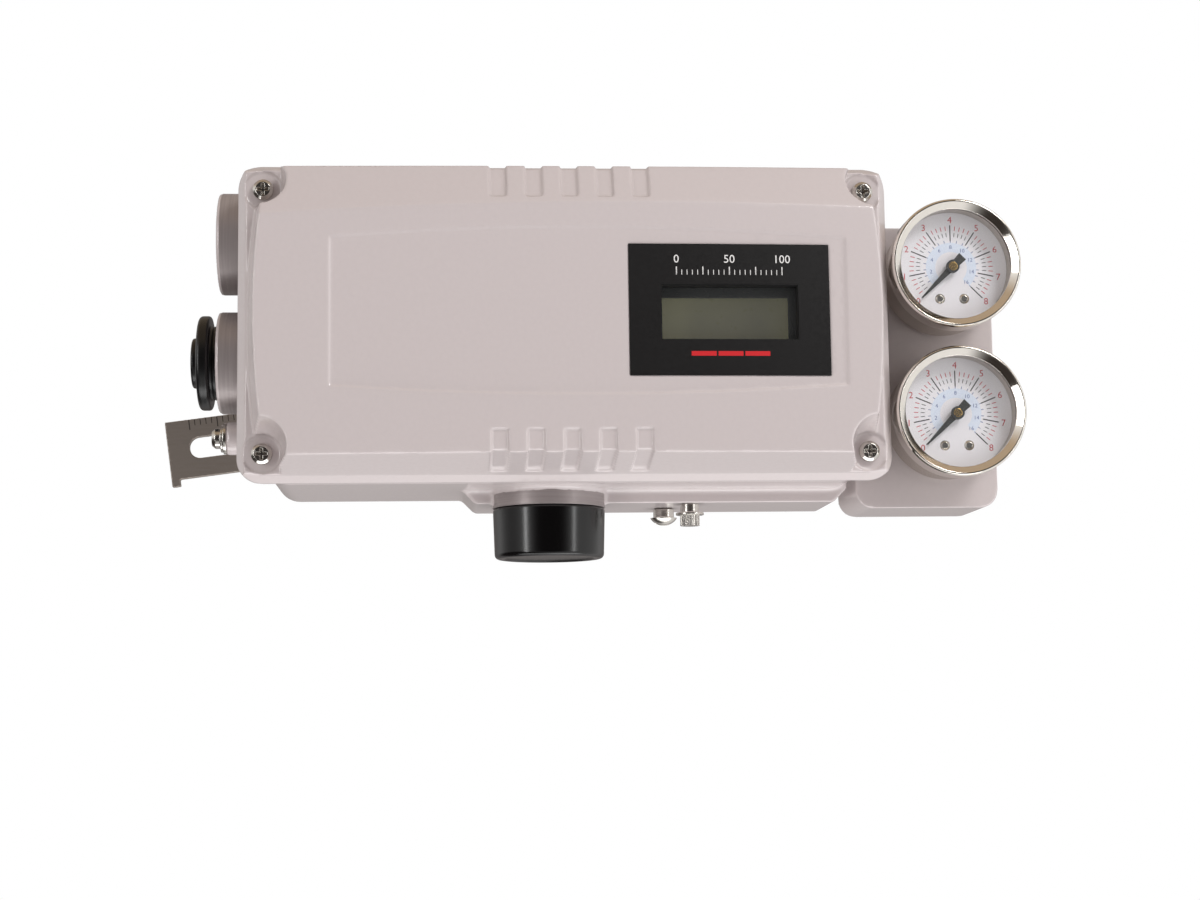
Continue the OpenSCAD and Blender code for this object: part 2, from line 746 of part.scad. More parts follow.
// Pressed case of a gauge, open at the front.
module gauge_case(z) color(STEEL) at_gauge(z) y_turn() polygon([
    [gauge_case_r, lens_back], [gauge_case_r, gauge_back - 1.5], [gauge_case_r - 1.5, gauge_back],
    [stem_r + 1, gauge_back], [stem_r + 1, gauge_back - gauge_wall],
    [gauge_case_r - 2.2, gauge_back - gauge_wall], [gauge_case_r - gauge_wall, gauge_back - 2.2],
    [gauge_case_r - gauge_wall, lens_back]]);

// Chromed bezel ring rolled over the lens and the case.
module gauge_bezel(z) color("#d9d9d6") at_gauge(z) y_turn() polygon([
    [bezel_r - 3.2, lip_t - gauge_front], [bezel_r - 3.2, 0.9 - gauge_front], [bezel_r - 2.4, -gauge_front],
    [bezel_r - 1.4, -gauge_front], [bezel_r - 0.4, 0.5 - gauge_front], [bezel_r, 1.6 - gauge_front],
    [bezel_r, 8.5 - gauge_front], [gauge_case_r + fit_gap, 8.5 - gauge_front],
    [gauge_case_r + fit_gap, lip_t - gauge_front]]);

// Clear lens of a gauge.
module gauge_lens(z) color("#cfdcdc", 0.4) at_gauge(z) y_rod(gauge_case_r, lens_back - lens_t, lens_back);

// White dial of a gauge.
module gauge_dial(z) color("#f2f2ee") at_gauge(z) difference() {
    y_rod(gauge_case_r - gauge_wall - fit_gap, dial_y, dial_y + dial_t);
    y_rod(arbor_r + free_gap, dial_y - 1, dial_y + 2);
}

// Pointer of a gauge with its hub and arbor, at the low end of the scale.
module gauge_pointer(z) color(BLACK) at_gauge(z) rotate([0, -gauge_sweep / 2, 0]) {
    y_prism(dial_y - 2.2, dial_y - 1.7) polygon([[-1.6, -5], [1.6, -5], [1.2, 0],
        [0.25, bezel_r - 7], [-0.25, bezel_r - 7], [-1.2, 0]]);
    y_rod(2.2, dial_y - 3, dial_y - 1.7);
    y_rod(arbor_r, dial_y - 1.8, dial_y + 5);
}

// Movement block, curved pressure tube and threaded stem of a gauge.
module gauge_stem(z) color(BRASS) at_gauge(z) difference() {
    union() {
        slab(about(0, movement_w), [dial_y + dial_t, gauge_back - 3.5], about(0, movement_h));
        y_rod(stem_r, gauge_back - 4, block_y[0] + stem_l);
        y_prism(gauge_back, block_y[0] - gauge_boss_h) circle(stem_hex_r, $fn = 6);
        translate([0, tube_y, 0]) rotate([-90, 0, 0])
            rotate_extrude(angle = tube_sweep) translate([tube_bend_r, 0]) circle(tube_r);
        slab([6, tube_bend_r], about(tube_y, 2 * tube_r - 0.2), about(0, 2 * tube_r - 0.2));
    }
    y_rod(arbor_r + run_gap, dial_y, dial_y + 5.5);
}

module upper_gauge_case() gauge_case(gauge_upper_z);
module upper_gauge_bezel() gauge_bezel(gauge_upper_z);
module upper_gauge_lens() gauge_lens(gauge_upper_z);
module upper_gauge_dial() gauge_dial(gauge_upper_z);
module upper_gauge_pointer() gauge_pointer(gauge_upper_z);
module upper_gauge_stem() gauge_stem(gauge_upper_z);
module lower_gauge_case() gauge_case(gauge_lower_z);
module lower_gauge_bezel() gauge_bezel(gauge_lower_z);
module lower_gauge_lens() gauge_lens(gauge_lower_z);
module lower_gauge_dial() gauge_dial(gauge_lower_z);
module lower_gauge_pointer() gauge_pointer(gauge_lower_z);
module lower_gauge_stem() gauge_stem(gauge_lower_z);

// Blanking plug in the lower cable entry.
module conduit_plug() color(BLACK) in_case() translate([entry_face, entry_y, entry_z[0]]) {
    x_rod(entry_bore_r - fit_gap, -1, plug_l);
    x_rod(plug_neck_r, -plug_neck, 0);
    x_rod(plug_flange_r, -plug_neck - plug_flange_t, -plug_neck);
    translate([-plug_neck - plug_flange_t - plug_edge, 0, 0]) rotate([0, 90, 0])
        cylinder(r1 = plug_flange_r - plug_edge, r2 = plug_flange_r, h = plug_edge);
    x_rod(plug_hub_r, -plug_neck - plug_flange_t - plug_edge - plug_hub_l, -plug_neck - plug_flange_t);
}

// Vent cap screwed on the neck under the housing.
module vent_cap() color(BLACK) in_case() translate([vent_x, vent_y, vent_seat]) rotate_extrude() polygon([
    [vent_neck_r + fit_gap, 0], [vent_r, 0], [vent_r, vent_edge - vent_h], [vent_r - vent_edge, -vent_h],
    [0, -vent_h], [0, vent_floor - vent_h], [vent_neck_r + 2, vent_floor - vent_h],
    [vent_neck_r + 2, -vent_neck_l - free_gap], [vent_neck_r + fit_gap, -vent_neck_l - free_gap]]);

// Felt filter in the vent cap.
module vent_filter() color("#d8d4c4") in_case() translate([vent_x, vent_y, vent_seat])
    z_rod(vent_neck_r + 1.8, vent_floor - vent_h, 2 * vent_floor - vent_h);

// Earth screw on the left side, with its two washers.
module earth_screw_side() color(STEEL) in_case()
    translate([earth_face, earth_y, earth_z]) rotate([0, 0, -90]) {
        translate([0, -earth_stack, 0]) pan_screw(screw_r, screw_head_r, 3, 10);
        y_turn() polygon([[screw_r, -earth_stack], [4.6, -earth_stack], [4.6, -1.1], [5.2, -1.1],
            [5.2, 0], [screw_r, 0]]);
    }

// Knurled earth screw under the housing, on its spacer and washer.
module earth_screw_low() color(STEEL) in_case() translate([low_screw_x, low_screw_y, pad_low]) {
    z_rod(screw_r, -spacer_h, 8);
    z_rod(spacer_r, -spacer_h, 0);
    z_rod(spacer_r + 1.6, -spacer_h - 0.8, -spacer_h);
    difference() {
        z_rod(low_head_r, -spacer_h - 0.8 - low_head_h, -spacer_h - 0.8);
        for (i = [0:knurl_count - 1]) rotate(i * 360 / knurl_count) translate([low_head_r, 0, 0])
            z_rod(knurl_r, -spacer_h - low_head_h - 2, -spacer_h - 0.8);
    }
}

// Domed screw that changes between automatic and manual air, under the housing.
module auto_manual_screw() color(STEEL) in_case()
    translate([auto_x, auto_y, pad_low - free_gap]) difference() {
        union() {
            z_rod(auto_r, -auto_neck_h - 1, pad_drop + wall + 2);
            z_rod(auto_r + 0.6, -auto_neck_h, 0);
            translate([0, 0, -auto_neck_h]) mirror([0, 0, 1]) intersection() {
                z_rod(auto_head_r, 0, auto_dome_h);
                translate([0, 0, auto_dome_h - auto_dome_r]) sphere(auto_dome_r);
            }
        }
        slab([-auto_head_r, auto_head_r], about(0, 1.2), [-auto_neck_h - 4, -auto_neck_h - 1.5]);
    }

// Main circuit board.
module main_pcb() color("#2f6b45") in_case() difference() {
    y_prism(pcb_y[0], pcb_y[1]) round_rect(pcb_x, pcb_z, pcb_corner);
    for (p = pillar_xz) translate([p[0], 0, p[1]]) y_rod(pillar_bore + 0.2, pcb_y[0] - 1, pcb_y[1] + 1);
}

// Hexagon pillars that carry the board on the housing's floor.
module pcb_pillars() color(BRASS) in_case() for (p = pillar_xz) translate([p[0], 0, p[1]]) difference() {
    y_prism(pcb_y[1], floor_y) circle(pillar_r, $fn = 6);
    y_rod(pillar_bore, pcb_y[1] - 1, pcb_y[1] + pillar_screw_l);
}

// Screws that hold the board on its pillars.
module pcb_screws() color(STEEL) in_case() for (p = pillar_xz) translate([p[0], pcb_y[0], p[1]])
    pan_screw(pillar_bore - fit_gap, 2.75, 2.2, pillar_screw_l);

// Frame of the liquid crystal display on the board.
module lcd_module() color("#26282a") in_case() difference() {
    slab(win_range_x(lcd_edge), [lcd_front, pcb_y[0]], win_range_z(lcd_edge));
    slab(win_range_x(1), [lcd_front - 1, pcb_y[0] - 2], win_range_z(1));
}

// Glass of the liquid crystal display.
module lcd_glass() color("#7a7d66") in_case()
    slab(win_range_x(1 - fit_gap), [lcd_front + 0.8, pcb_y[0] - 2], win_range_z(1 - fit_gap));

// Square bases of the four push buttons.
module button_bases() color("#303236") in_case() for (x = button_x) translate([x, 0, button_z]) difference() {
    slab(about(0, button_side), button_base, about(0, button_side));
    y_rod(button_r + free_gap, button_base[0] - 1, button_base[1] - 1);
}

// One push button, which travels towards the board.
module push_button(i) color("#b8322a") in_case() translate([button_x[i], 0, button_z])
    y_rod(button_r, button_base[0] - button_out, button_base[1] - 1.8);

module button_up() push_button(0);
module button_down() push_button(1);
module button_enter() push_button(2);
module button_escape() push_button(3);

// Row of screw terminals for the signal wires.
module terminal_block() color("#3f7d4c") in_case() difference() {
    slab([terminal_x, terminal_x + pole_count * pole_pitch + 2], [terminal_front, pcb_y[0]], terminal_z);
    for (i = [0:pole_count - 1]) translate([terminal_x + 1 + (i + 0.5) * pole_pitch, 0, 0]) {
        translate([0, 0, terminal_hole_z])
            y_rod(terminal_hole_r, terminal_front - 1, terminal_front + terminal_hole_d);
        slab(about(0, wire_w), about(terminal_front + terminal_hole_d, 4),
            [terminal_z[0] - 1, terminal_z[0] + wire_d]);
    }
}

// Screws of the terminals.
module terminal_screws() color(STEEL) in_case() for (i = [0:pole_count - 1])
    translate([terminal_x + 1 + (i + 0.5) * pole_pitch, terminal_front, terminal_hole_z]) difference() {
        y_rod(terminal_hole_r - fit_gap, terminal_hole_d / 2, terminal_hole_d);
        rotate([0, 35, 0]) slab([-3, 3], about(terminal_hole_d / 2, 1.6), about(0, 0.7));
    }

// Soft-iron yoke of the torque motor, with the two poles and the pivot lugs.
module torque_yoke() color("#7c7f83") in_case() translate([motor_x, 0, motor_z]) difference() {
    union() {
        slab(about(0, motor_w), [floor_y - yoke_t, floor_y], about(0, motor_h));
        for (s = [-1, 1]) {
            slab(about(s * (motor_w - pole_w) / 2, pole_w), [pole_y, floor_y], about(0, motor_h - 14));
            slab(about(0, 7), [beam_y - 4, floor_y], about(s * (motor_h - yoke_lug) / 2, yoke_lug));
        }
        y_rod(core_r, pole_y + 1, floor_y);
    }
    translate([0, beam_y, 0]) z_rod(pin_r + fit_gap, -motor_h, motor_h);
}

// Wound coil on the yoke's core.
module torque_coil() color("#8a4a22") in_case() translate([motor_x, 0, motor_z]) difference() {
    y_rod(coil_r, pole_y + 3, floor_y - yoke_t);
    y_rod(core_r + fit_gap, pole_y, floor_y);
}

// Pivoted beam whose tip covers the air nozzle.
module torque_flapper() color(STEEL) in_case() translate([motor_x, beam_y, motor_z]) difference() {
    union() {
        slab([-motor_w / 2, nozzle_x - motor_x + 4], about(0, beam_t), about(0, beam_w));
        z_rod(beam_hub_r, -beam_w, beam_w);
    }
    z_rod(pin_r + run_gap, -motor_h, motor_h);
}

// Pin on which the flapper tilts.
module flapper_pivot() color(STEEL) in_case() translate([motor_x, beam_y, motor_z])
    z_rod(pin_r, -motor_h / 2, motor_h / 2);

// Brass nozzle under the flapper's tip.
module air_nozzle() color(BRASS) in_case() translate([nozzle_x, 0, motor_z]) difference() {
    union() {
        y_rod(nozzle_r, beam_y + nozzle_tip + 1.5, floor_y);
        translate([0, beam_y + 1.6, 0]) rotate([-90, 0, 0]) cylinder(r1 = 1, r2 = nozzle_r, h = nozzle_tip);
    }
    y_rod(0.4, beam_y, floor_y + 1);
}

// Block of the pilot valve, bored for the spool.
module pilot_block() color(ALLOY) in_case() difference() {
    slab(pilot_x, pilot_y, pilot_z);
    translate([spool_x, spool_y, 0]) z_rod(spool_r, pilot_z[0] - 1, pilot_z[1] + 1);
    at_ports() x_rod(duct_r, spool_x, pilot_x[1] + 1);
}

// Spool that slides in the pilot block.
module pilot_spool() color(STEEL) in_case() translate([spool_x, spool_y, 0]) difference() {
    z_rod(spool_r - run_gap, spool_z[0], spool_z[1]);
    for (s = [-1, 1]) translate([0, 0, (spool_z[0] + spool_z[1]) / 2 + s * spool_land]) difference() {
        z_rod(spool_r + 1, -spool_groove / 2, spool_groove / 2);
        z_rod(spool_waist, -spool_groove, spool_groove);
    }
}

// Plugs that close both ends of the pilot bore.
module pilot_caps() color(BRASS) in_case() translate([spool_x, spool_y, 0]) {
    z_rod(cap_r, pilot_z[1], pilot_z[1] + cap_t[1]);
    z_rod(spool_r - fit_gap, pilot_z[1] - cap_plug, pilot_z[1] + 1);
    z_rod(cap_r, pilot_z[0] - cap_t[0], pilot_z[0]);
    z_rod(spool_r - fit_gap, pilot_z[0] - 1, pilot_z[0] + cap_plug);
}

// The involute function in degrees, from the ratio of a radius to the base radius.
function involute(x) = x <= 1 ? 0 : sqrt(x * x - 1) * 180 / PI - atan(sqrt(x * x - 1));

// Half the angle of a tooth at the radius r, in degrees, a little thin for backlash.
function tooth_half(n, m, r) = tooth_share / n + involute(1 / cos(pressure_angle))
    - involute(r / (n * m / 2 * cos(pressure_angle)));

// Outline of a gear with n teeth of module m.
module gear_outline(n, m) {
    radii = [n * m / 2 - 1.2 * m, n * m / 2 - 0.5 * m, n * m / 2, n * m / 2 + 0.8 * m];
    polygon([for (k = [0:n - 1], s = [1, -1], i = [0:3])
        let (r = radii[s > 0 ? i : 3 - i], a = 360 / n * k - s * tooth_half(n, m, r))
        [r * cos(a), r * sin(a)]]);
}

// Body of the rotary position sensor.
module potentiometer() color("#27415f") in_case() translate([shaft_x, 0, pot_z]) difference() {
    union() {
        y_rod(pot_r, pot_y[0], pot_y[1]);
        y_rod(pot_nose_r, gear_y[1] + 0.8, pot_y[0] + 1);
        slab([-6, 6], [pot_y[0] + 4, pot_y[1] - 3], [0, pot_r + 2]);
    }
    y_rod(pot_shaft_r + run_gap, gear_y[1], pot_y[1] - 3);
}

// The range of X that reaches a distance t in from the left or right end of the bracket.
function inward(s, t) = [pot_leg_x[s] - s * t, pot_leg_x[s] + (1 - s) * t];

// Folded bracket that carries the sensor over the floor.
module pot_bracket() color(STEEL) in_case() difference() {
    union() {
        slab(pot_leg_x, pot_plate, about(pot_z, pot_plate_h));
        for (s = [0, 1]) {
            slab(inward(s, pot_leg_t), [pot_plate[0], floor_y], about(pot_z, pot_leg_w));
            slab(inward(s, pot_foot), [floor_y - pot_foot_t, floor_y], about(pot_z, pot_leg_w));
        }
    }
    translate([shaft_x, 0, pot_z]) y_rod(pot_nose_r + fit_gap, pot_plate[0] - 1, pot_plate[1] + 1);
    at_pot_feet() y_rod(pot_screw_r + fit_gap, -1, pot_foot_t + 1);
}

// Screws in the bracket's feet.
module pot_screws() color(STEEL) in_case() at_pot_feet()
    pan_screw(pot_screw_r, pot_screw_head, pot_screw_head * 0.7, pot_screw_l);

// Pinion and arbor of the sensor.
module pot_pinion() color("#e6e0cf") in_case() translate([shaft_x, 0, pot_z]) {
    y_prism(gear_y[0] - 0.5, gear_y[1]) rotate(90 + 180 / pinion_teeth)
        gear_outline(pinion_teeth, gear_module);
    y_rod(pot_shaft_r, gear_y[0], pot_y[1] - 5);
}

// Feedback shaft with its shoulder and threaded stud.
module main_shaft() color(STEEL) in_case() translate([shaft_x, 0, shaft_z]) difference() {
    union() {
        y_rod(shaft_r, gear_y[0] - 3, lever_y);
        y_rod(shaft_r + 2.5, body_d + bush_flange[1] + free_gap, lever_y);
        y_rod(stud_r, lever_y - 1, nut_y + nut_h + 2);
    }
    difference() {
        y_rod(shaft_r + 1, ring_y[0] - fit_gap, ring_y[1] + fit_gap);
        y_rod(shaft_r - 0.5, ring_y[0] - 1, ring_y[1] + 1);
    }
}

// Gear on the feedback shaft.
module main_gear() color(BRASS) in_case() translate([shaft_x, 0, shaft_z]) difference() {
    union() {
        y_prism(gear_y[0], gear_y[1]) rotate(90) gear_outline(gear_teeth, gear_module);
        y_rod(hub_r, gear_y[1] - 1, hub_end);
    }
    y_rod(shaft_r + fit_gap / 2, gear_y[0] - 1, hub_end + 1);
}

// The two flanged bushes in the housing's shaft boss.
module shaft_bushes() color("#a8783e") in_case() translate([shaft_x, 0, shaft_z]) {
    y_turn() polygon([[shaft_r + run_gap, boss_y - bush_flange[1]], [bush_flange[0], boss_y - bush_flange[1]],
        [bush_flange[0], boss_y], [bush_r, boss_y], [bush_r, boss_y + bush_l],
        [shaft_r + run_gap, boss_y + bush_l]]);
    y_turn() polygon([[shaft_r + run_gap, body_d - bush_l], [bush_r, body_d - bush_l], [bush_r, body_d],
        [bush_flange[0], body_d], [bush_flange[0], body_d + bush_flange[1]],
        [shaft_r + run_gap, body_d + bush_flange[1]]]);
}

// Ring that keeps the gear on the shaft.
module retaining_ring() color("#4a4a4c") in_case() translate([shaft_x, 0, shaft_z]) difference() {
    y_rod(shaft_r + 2.5, ring_y[0], ring_y[1]);
    y_rod(shaft_r - 0.5 + fit_gap, ring_y[0] - 1, ring_y[1] + 1);
    slab([-2.2, 2.2], grow(ring_y, 1), [-shaft_r - 4, 0]);
}

// Slotted feedback lever on the shaft's stud.
module feedback_lever() color("#6a625c") in_case() translate([shaft_x, 0, shaft_z])
    rotate([0, -lever_rest, 0]) difference() {
        union() {
            y_rod(lever_w / 2 + 1.5, lever_y, lever_end);
            slab([-lever_l, 0], [lever_y, lever_end], about(0, lever_w));
            slab([-lever_l, lever_tab[0] - lever_l], [lever_y, lever_end], [-lever_w / 2 - lever_tab[1], 0]);
        }
        y_rod(stud_r + fit_gap, lever_y - 1, lever_end + 1);
        slab([-slot_r[1], -slot_r[0]], [lever_y - 1, lever_end + 1], about(0, slot_w));
        for (r = slot_r) translate([-r, 0, 0]) y_rod(slot_w / 2, lever_y - 1, lever_end + 1);
    }

// Spring washer under the lever's nut.
module lever_washer() color(STEEL) in_case() translate([shaft_x, 0, shaft_z]) difference() {
    y_rod(washer_r, lever_end, nut_y);
    y_rod(stud_r + fit_gap, lever_y, nut_y + 1);
}

// Nut that clamps the lever.
module lever_nut() color(STEEL) in_case() translate([shaft_x, 0, shaft_z]) difference() {
    y_prism(nut_y, nut_y + nut_h) circle(nut_af / 2 / cos(30), $fn = 6);
    y_rod(stud_r + fit_gap / 2, lever_end, nut_y + nut_h + 1);
}

base_housing();
cover_gasket();
cover_shell();
cover_screws();
display_label();
display_window();
window_frame();
gauge_block();
block_gasket();
block_screws();
upper_gauge_case();
upper_gauge_bezel();
upper_gauge_lens();
upper_gauge_dial();
upper_gauge_pointer();
upper_gauge_stem();
lower_gauge_case();
lower_gauge_bezel();
lower_gauge_lens();
lower_gauge_dial();
lower_gauge_pointer();
lower_gauge_stem();
conduit_plug();
vent_cap();
vent_filter();
earth_screw_side();
earth_screw_low();
auto_manual_screw();
main_pcb();
lcd_module();
lcd_glass();
button_bases();
button_up();
button_down();
button_enter();
button_escape();
terminal_block();
terminal_screws();
pcb_pillars();
pcb_screws();
torque_yoke();
torque_coil();
torque_flapper();
flapper_pivot();
air_nozzle();
pilot_block();
pilot_spool();
pilot_caps();
potentiometer();
pot_bracket();
pot_screws();
pot_pinion();
main_shaft();
main_gear();
shaft_bushes();
retaining_ring();
feedback_lever();
lever_washer();
lever_nut();
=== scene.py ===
import json
import math

import bmesh
import bpy
from mathutils import Matrix, Vector
from mathutils.bvhtree import BVHTree

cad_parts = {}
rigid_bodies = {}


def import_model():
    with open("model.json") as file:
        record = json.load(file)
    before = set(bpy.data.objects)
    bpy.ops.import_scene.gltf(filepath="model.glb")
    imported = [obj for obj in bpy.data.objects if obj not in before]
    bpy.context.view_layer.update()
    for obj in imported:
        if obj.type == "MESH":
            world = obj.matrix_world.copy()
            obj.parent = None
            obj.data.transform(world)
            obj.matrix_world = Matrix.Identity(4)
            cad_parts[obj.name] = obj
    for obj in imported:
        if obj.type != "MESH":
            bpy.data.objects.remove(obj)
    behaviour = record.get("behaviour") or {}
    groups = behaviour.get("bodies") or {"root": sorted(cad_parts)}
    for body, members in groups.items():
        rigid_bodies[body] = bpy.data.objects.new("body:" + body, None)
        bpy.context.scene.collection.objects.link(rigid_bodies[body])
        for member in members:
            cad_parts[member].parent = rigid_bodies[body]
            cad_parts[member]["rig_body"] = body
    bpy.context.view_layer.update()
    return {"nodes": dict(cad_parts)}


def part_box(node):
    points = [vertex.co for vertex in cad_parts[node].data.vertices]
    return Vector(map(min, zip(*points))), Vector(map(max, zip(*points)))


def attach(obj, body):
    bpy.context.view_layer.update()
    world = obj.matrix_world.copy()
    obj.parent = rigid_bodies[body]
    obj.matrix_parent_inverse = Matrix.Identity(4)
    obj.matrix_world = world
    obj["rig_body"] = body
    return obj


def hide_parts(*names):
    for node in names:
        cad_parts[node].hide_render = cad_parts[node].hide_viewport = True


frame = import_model()

# ---- Camera -----------------------------------------------------------------------------------
# The picture was taken with a moderate telephoto lens from 0.7 m in front of the cover, a little
# to the left of its middle and below it, so that a strip of the underside shows.
film_width, picture_width, focal_pixels = 36.0, 1200, 2131
stand = (0.00734, -0.75385, -0.1065)
pitch, yaw, roll = (math.radians(a) for a in (7.02, 4.155, -0.779))
photo_lens = bpy.data.cameras.new("photo_camera")
photo_lens.sensor_width = film_width
photo_lens.lens = film_width * focal_pixels / picture_width
photo_lens.clip_start, photo_lens.clip_end = 0.01, 30.0
camera = bpy.data.objects.new("photo_camera", photo_lens)
bpy.context.scene.collection.objects.link(camera)
ahead = Vector((math.sin(yaw) * math.cos(pitch), math.cos(yaw) * math.cos(pitch), math.sin(pitch)))
level = Vector((math.cos(yaw), -math.sin(yaw), 0))
upright = level.cross(ahead)
side = level * math.cos(roll) + upright * math.sin(roll)
top = upright * math.cos(roll) - level * math.sin(roll)
turn = Matrix((side, top, -ahead)).transposed().to_4x4()
camera.matrix_world = Matrix.Translation(stand) @ turn
bpy.context.scene.camera = camera
bpy.context.scene.view_settings.view_transform = "Standard"

# ---- Studio -----------------------------------------------------------------------------------
# A white sweep that lights the object softly, most from the right and from below, with a lamp above
# at the right, one below, and a strip at each side. Bright metal mirrors the dim room around it.


def srgb(code):
    """A colour written as sRGB hex, as the linear values that Blender's sockets take."""
    parts = [int(code[i:i + 2], 16) / 255 for i in (1, 3, 5)]
    return tuple(p / 12.92 if p <= 0.04045 else ((p + 0.055) / 1.055) ** 2.4 for p in parts) + (1.0,)


def put(tree, kind, inputs=None, **settings):
    """Adds a node; inputs gives a socket, by name or number, either a value or an output to link."""
    node = tree.nodes.new(kind)
    for key, value in settings.items():
        setattr(node, key, value)
    for key, value in (inputs or {}).items():
        if isinstance(value, bpy.types.NodeSocket):
            tree.links.new(value, node.inputs[key])
        else:
            node.inputs[key].default_value = value
    return node


studio = bpy.data.worlds.new("white_studio")
studio.use_nodes = True
bpy.context.scene.world = studio
tree = studio.node_tree
tree.nodes.clear()
towards = put(tree, "ShaderNodeTexCoord")
part = put(tree, "ShaderNodeSeparateXYZ", {0: towards.outputs["Generated"]})
slant = put(tree, "ShaderNodeMath", {0: part.outputs["X"], 1: part.outputs["Z"]}, operation="ADD")
# Each row changes the light on matt surfaces (soft) or in mirrors (room) along one direction, from
# one colour to another between two points. None keeps what the rows before it gave on that side.
sky = {}
for look, node, way, start, end, before, after in (
        ("soft", part, "Z", -0.5, 0.35, "#f6f6f8", "#a6a09e"),
        ("soft", part, "X", -0.7, 0.2, "#a8a2a0", None),
        ("room", part, "Z", 0.3, 0.75, "#f6f5f4", "#b8a48c"),
        ("room", slant, 0, -1.15, -0.75, "#37322f", None),
        ("room", part, "Y", 0.5, 0.95, None, "#8b8684"),
        ("room", part, "Y", -0.93, -0.6, "#2b2725", None)):
    change = put(tree, "ShaderNodeMapRange",
                 {"Value": node.outputs[way], "From Min": start, "From Max": end},
                 interpolation_type="SMOOTHSTEP")
    one, two = (srgb(code) if code else sky[look].outputs[2] for code in (before, after))
    sky[look] = put(tree, "ShaderNodeMix", {0: change.outputs[0], 6: one, 7: two}, data_type="RGBA")
ray = put(tree, "ShaderNodeLightPath")
mirrored = put(tree, "ShaderNodeMix", {0: ray.outputs["Is Glossy Ray"], 6: sky["soft"].outputs[2],
                                       7: sky["room"].outputs[2]}, data_type="RGBA")
clear = put(tree, "ShaderNodeMath", {0: ray.outputs["Is Camera Ray"],
                                     1: ray.outputs["Is Transmission Ray"]}, operation="MAXIMUM")
shown = put(tree, "ShaderNodeMix", {0: clear.outputs[0], 6: mirrored.outputs[2], 7: (1, 1, 1, 1)},
            data_type="RGBA")
glow = put(tree, "ShaderNodeBackground", {"Color": shown.outputs[2], "Strength": 1.0})
put(tree, "ShaderNodeOutputWorld", {0: glow.outputs[0]})

# Each lamp: its name, its place, its width and height in metres, and its power in watts.
lit_point = Vector((0.05, -0.06, 0.02))
for name, spot, wide, tall, power in (("key_lamp", (0.75, -0.95, 0.85), 0.45, 0.45, 8.4),
                                      ("right_strip", (0.90, -0.75, 0.05), 0.10, 0.90, 1.7),
                                      ("left_strip", (-0.80, -0.70, 0.05), 0.10, 0.90, 2.6),
                                      ("low_lamp", (0.05, -0.10, -0.55), 0.90, 0.25, 2.0)):
    lamp = bpy.data.lights.new(name, "AREA")
    lamp.shape, lamp.size, lamp.size_y, lamp.energy = "RECTANGLE", wide, tall, power
    holder = bpy.data.objects.new(name, lamp)
    bpy.context.scene.collection.objects.link(holder)
    holder.location = spot
    holder.rotation_euler = (lit_point - Vector(spot)).to_track_quat("-Z", "Y").to_euler()

floor_r, floor_x, floor_z, floor_sides = 1.3, 0.05, -0.30, 96
floor_mesh = bpy.data.meshes.new("studio_floor")
rim = [math.tau * i / floor_sides for i in range(floor_sides)]
floor_mesh.from_pydata([(floor_r * math.cos(a) + floor_x, floor_r * math.sin(a), floor_z) for a in rim],
                       [], [list(range(floor_sides))])
studio_floor = bpy.data.objects.new("studio_floor", floor_mesh)
bpy.context.scene.collection.objects.link(studio_floor)
studio_floor.visible_diffuse = studio_floor.visible_glossy = studio_floor.visible_shadow = False
# Matt white paper: it takes the soft shadow in the middle and fades to plain white at its edge.
paper = bpy.data.materials.new("matt_white_paper")
paper.use_nodes = True
tree = paper.node_tree
sheet = tree.nodes["Principled BSDF"]
sheet.inputs["Base Color"].default_value = srgb("#f4f4f4")
sheet.inputs["Roughness"].default_value = 0.9
place = put(tree, "ShaderNodeTexCoord")
across = put(tree, "ShaderNodeVectorMath", {0: place.outputs["Object"], 1: (1, 1, 0)},
             operation="MULTIPLY")
reach = put(tree, "ShaderNodeVectorMath", {0: across.outputs[0]}, operation="LENGTH")
fade = put(tree, "ShaderNodeMapRange", {"Value": reach.outputs["Value"], "From Min": 0.2,
                                        "From Max": 0.95, "To Min": 0.35},
           interpolation_type="SMOOTHSTEP")
white = put(tree, "ShaderNodeEmission", {"Color": (1, 1, 1, 1), "Strength": 1.0})
blend = put(tree, "ShaderNodeMixShader", {0: fade.outputs[0], 1: sheet.outputs[0], 2: white.outputs[0]})
tree.links.new(blend.outputs[0], tree.nodes["Material Output"].inputs["Surface"])
floor_mesh.materials.append(paper)

# ---- Housing ----------------------------------------------------------------------------------
# The rear half of the case: die-cast aluminium with two cable entry bosses, an earth pad, a vent
# collar and a mounting pad, powder coated a warm light grey after machining.
mm = 1000   # in a metre: the sizes from here on are in mm, and Blender's are in metres


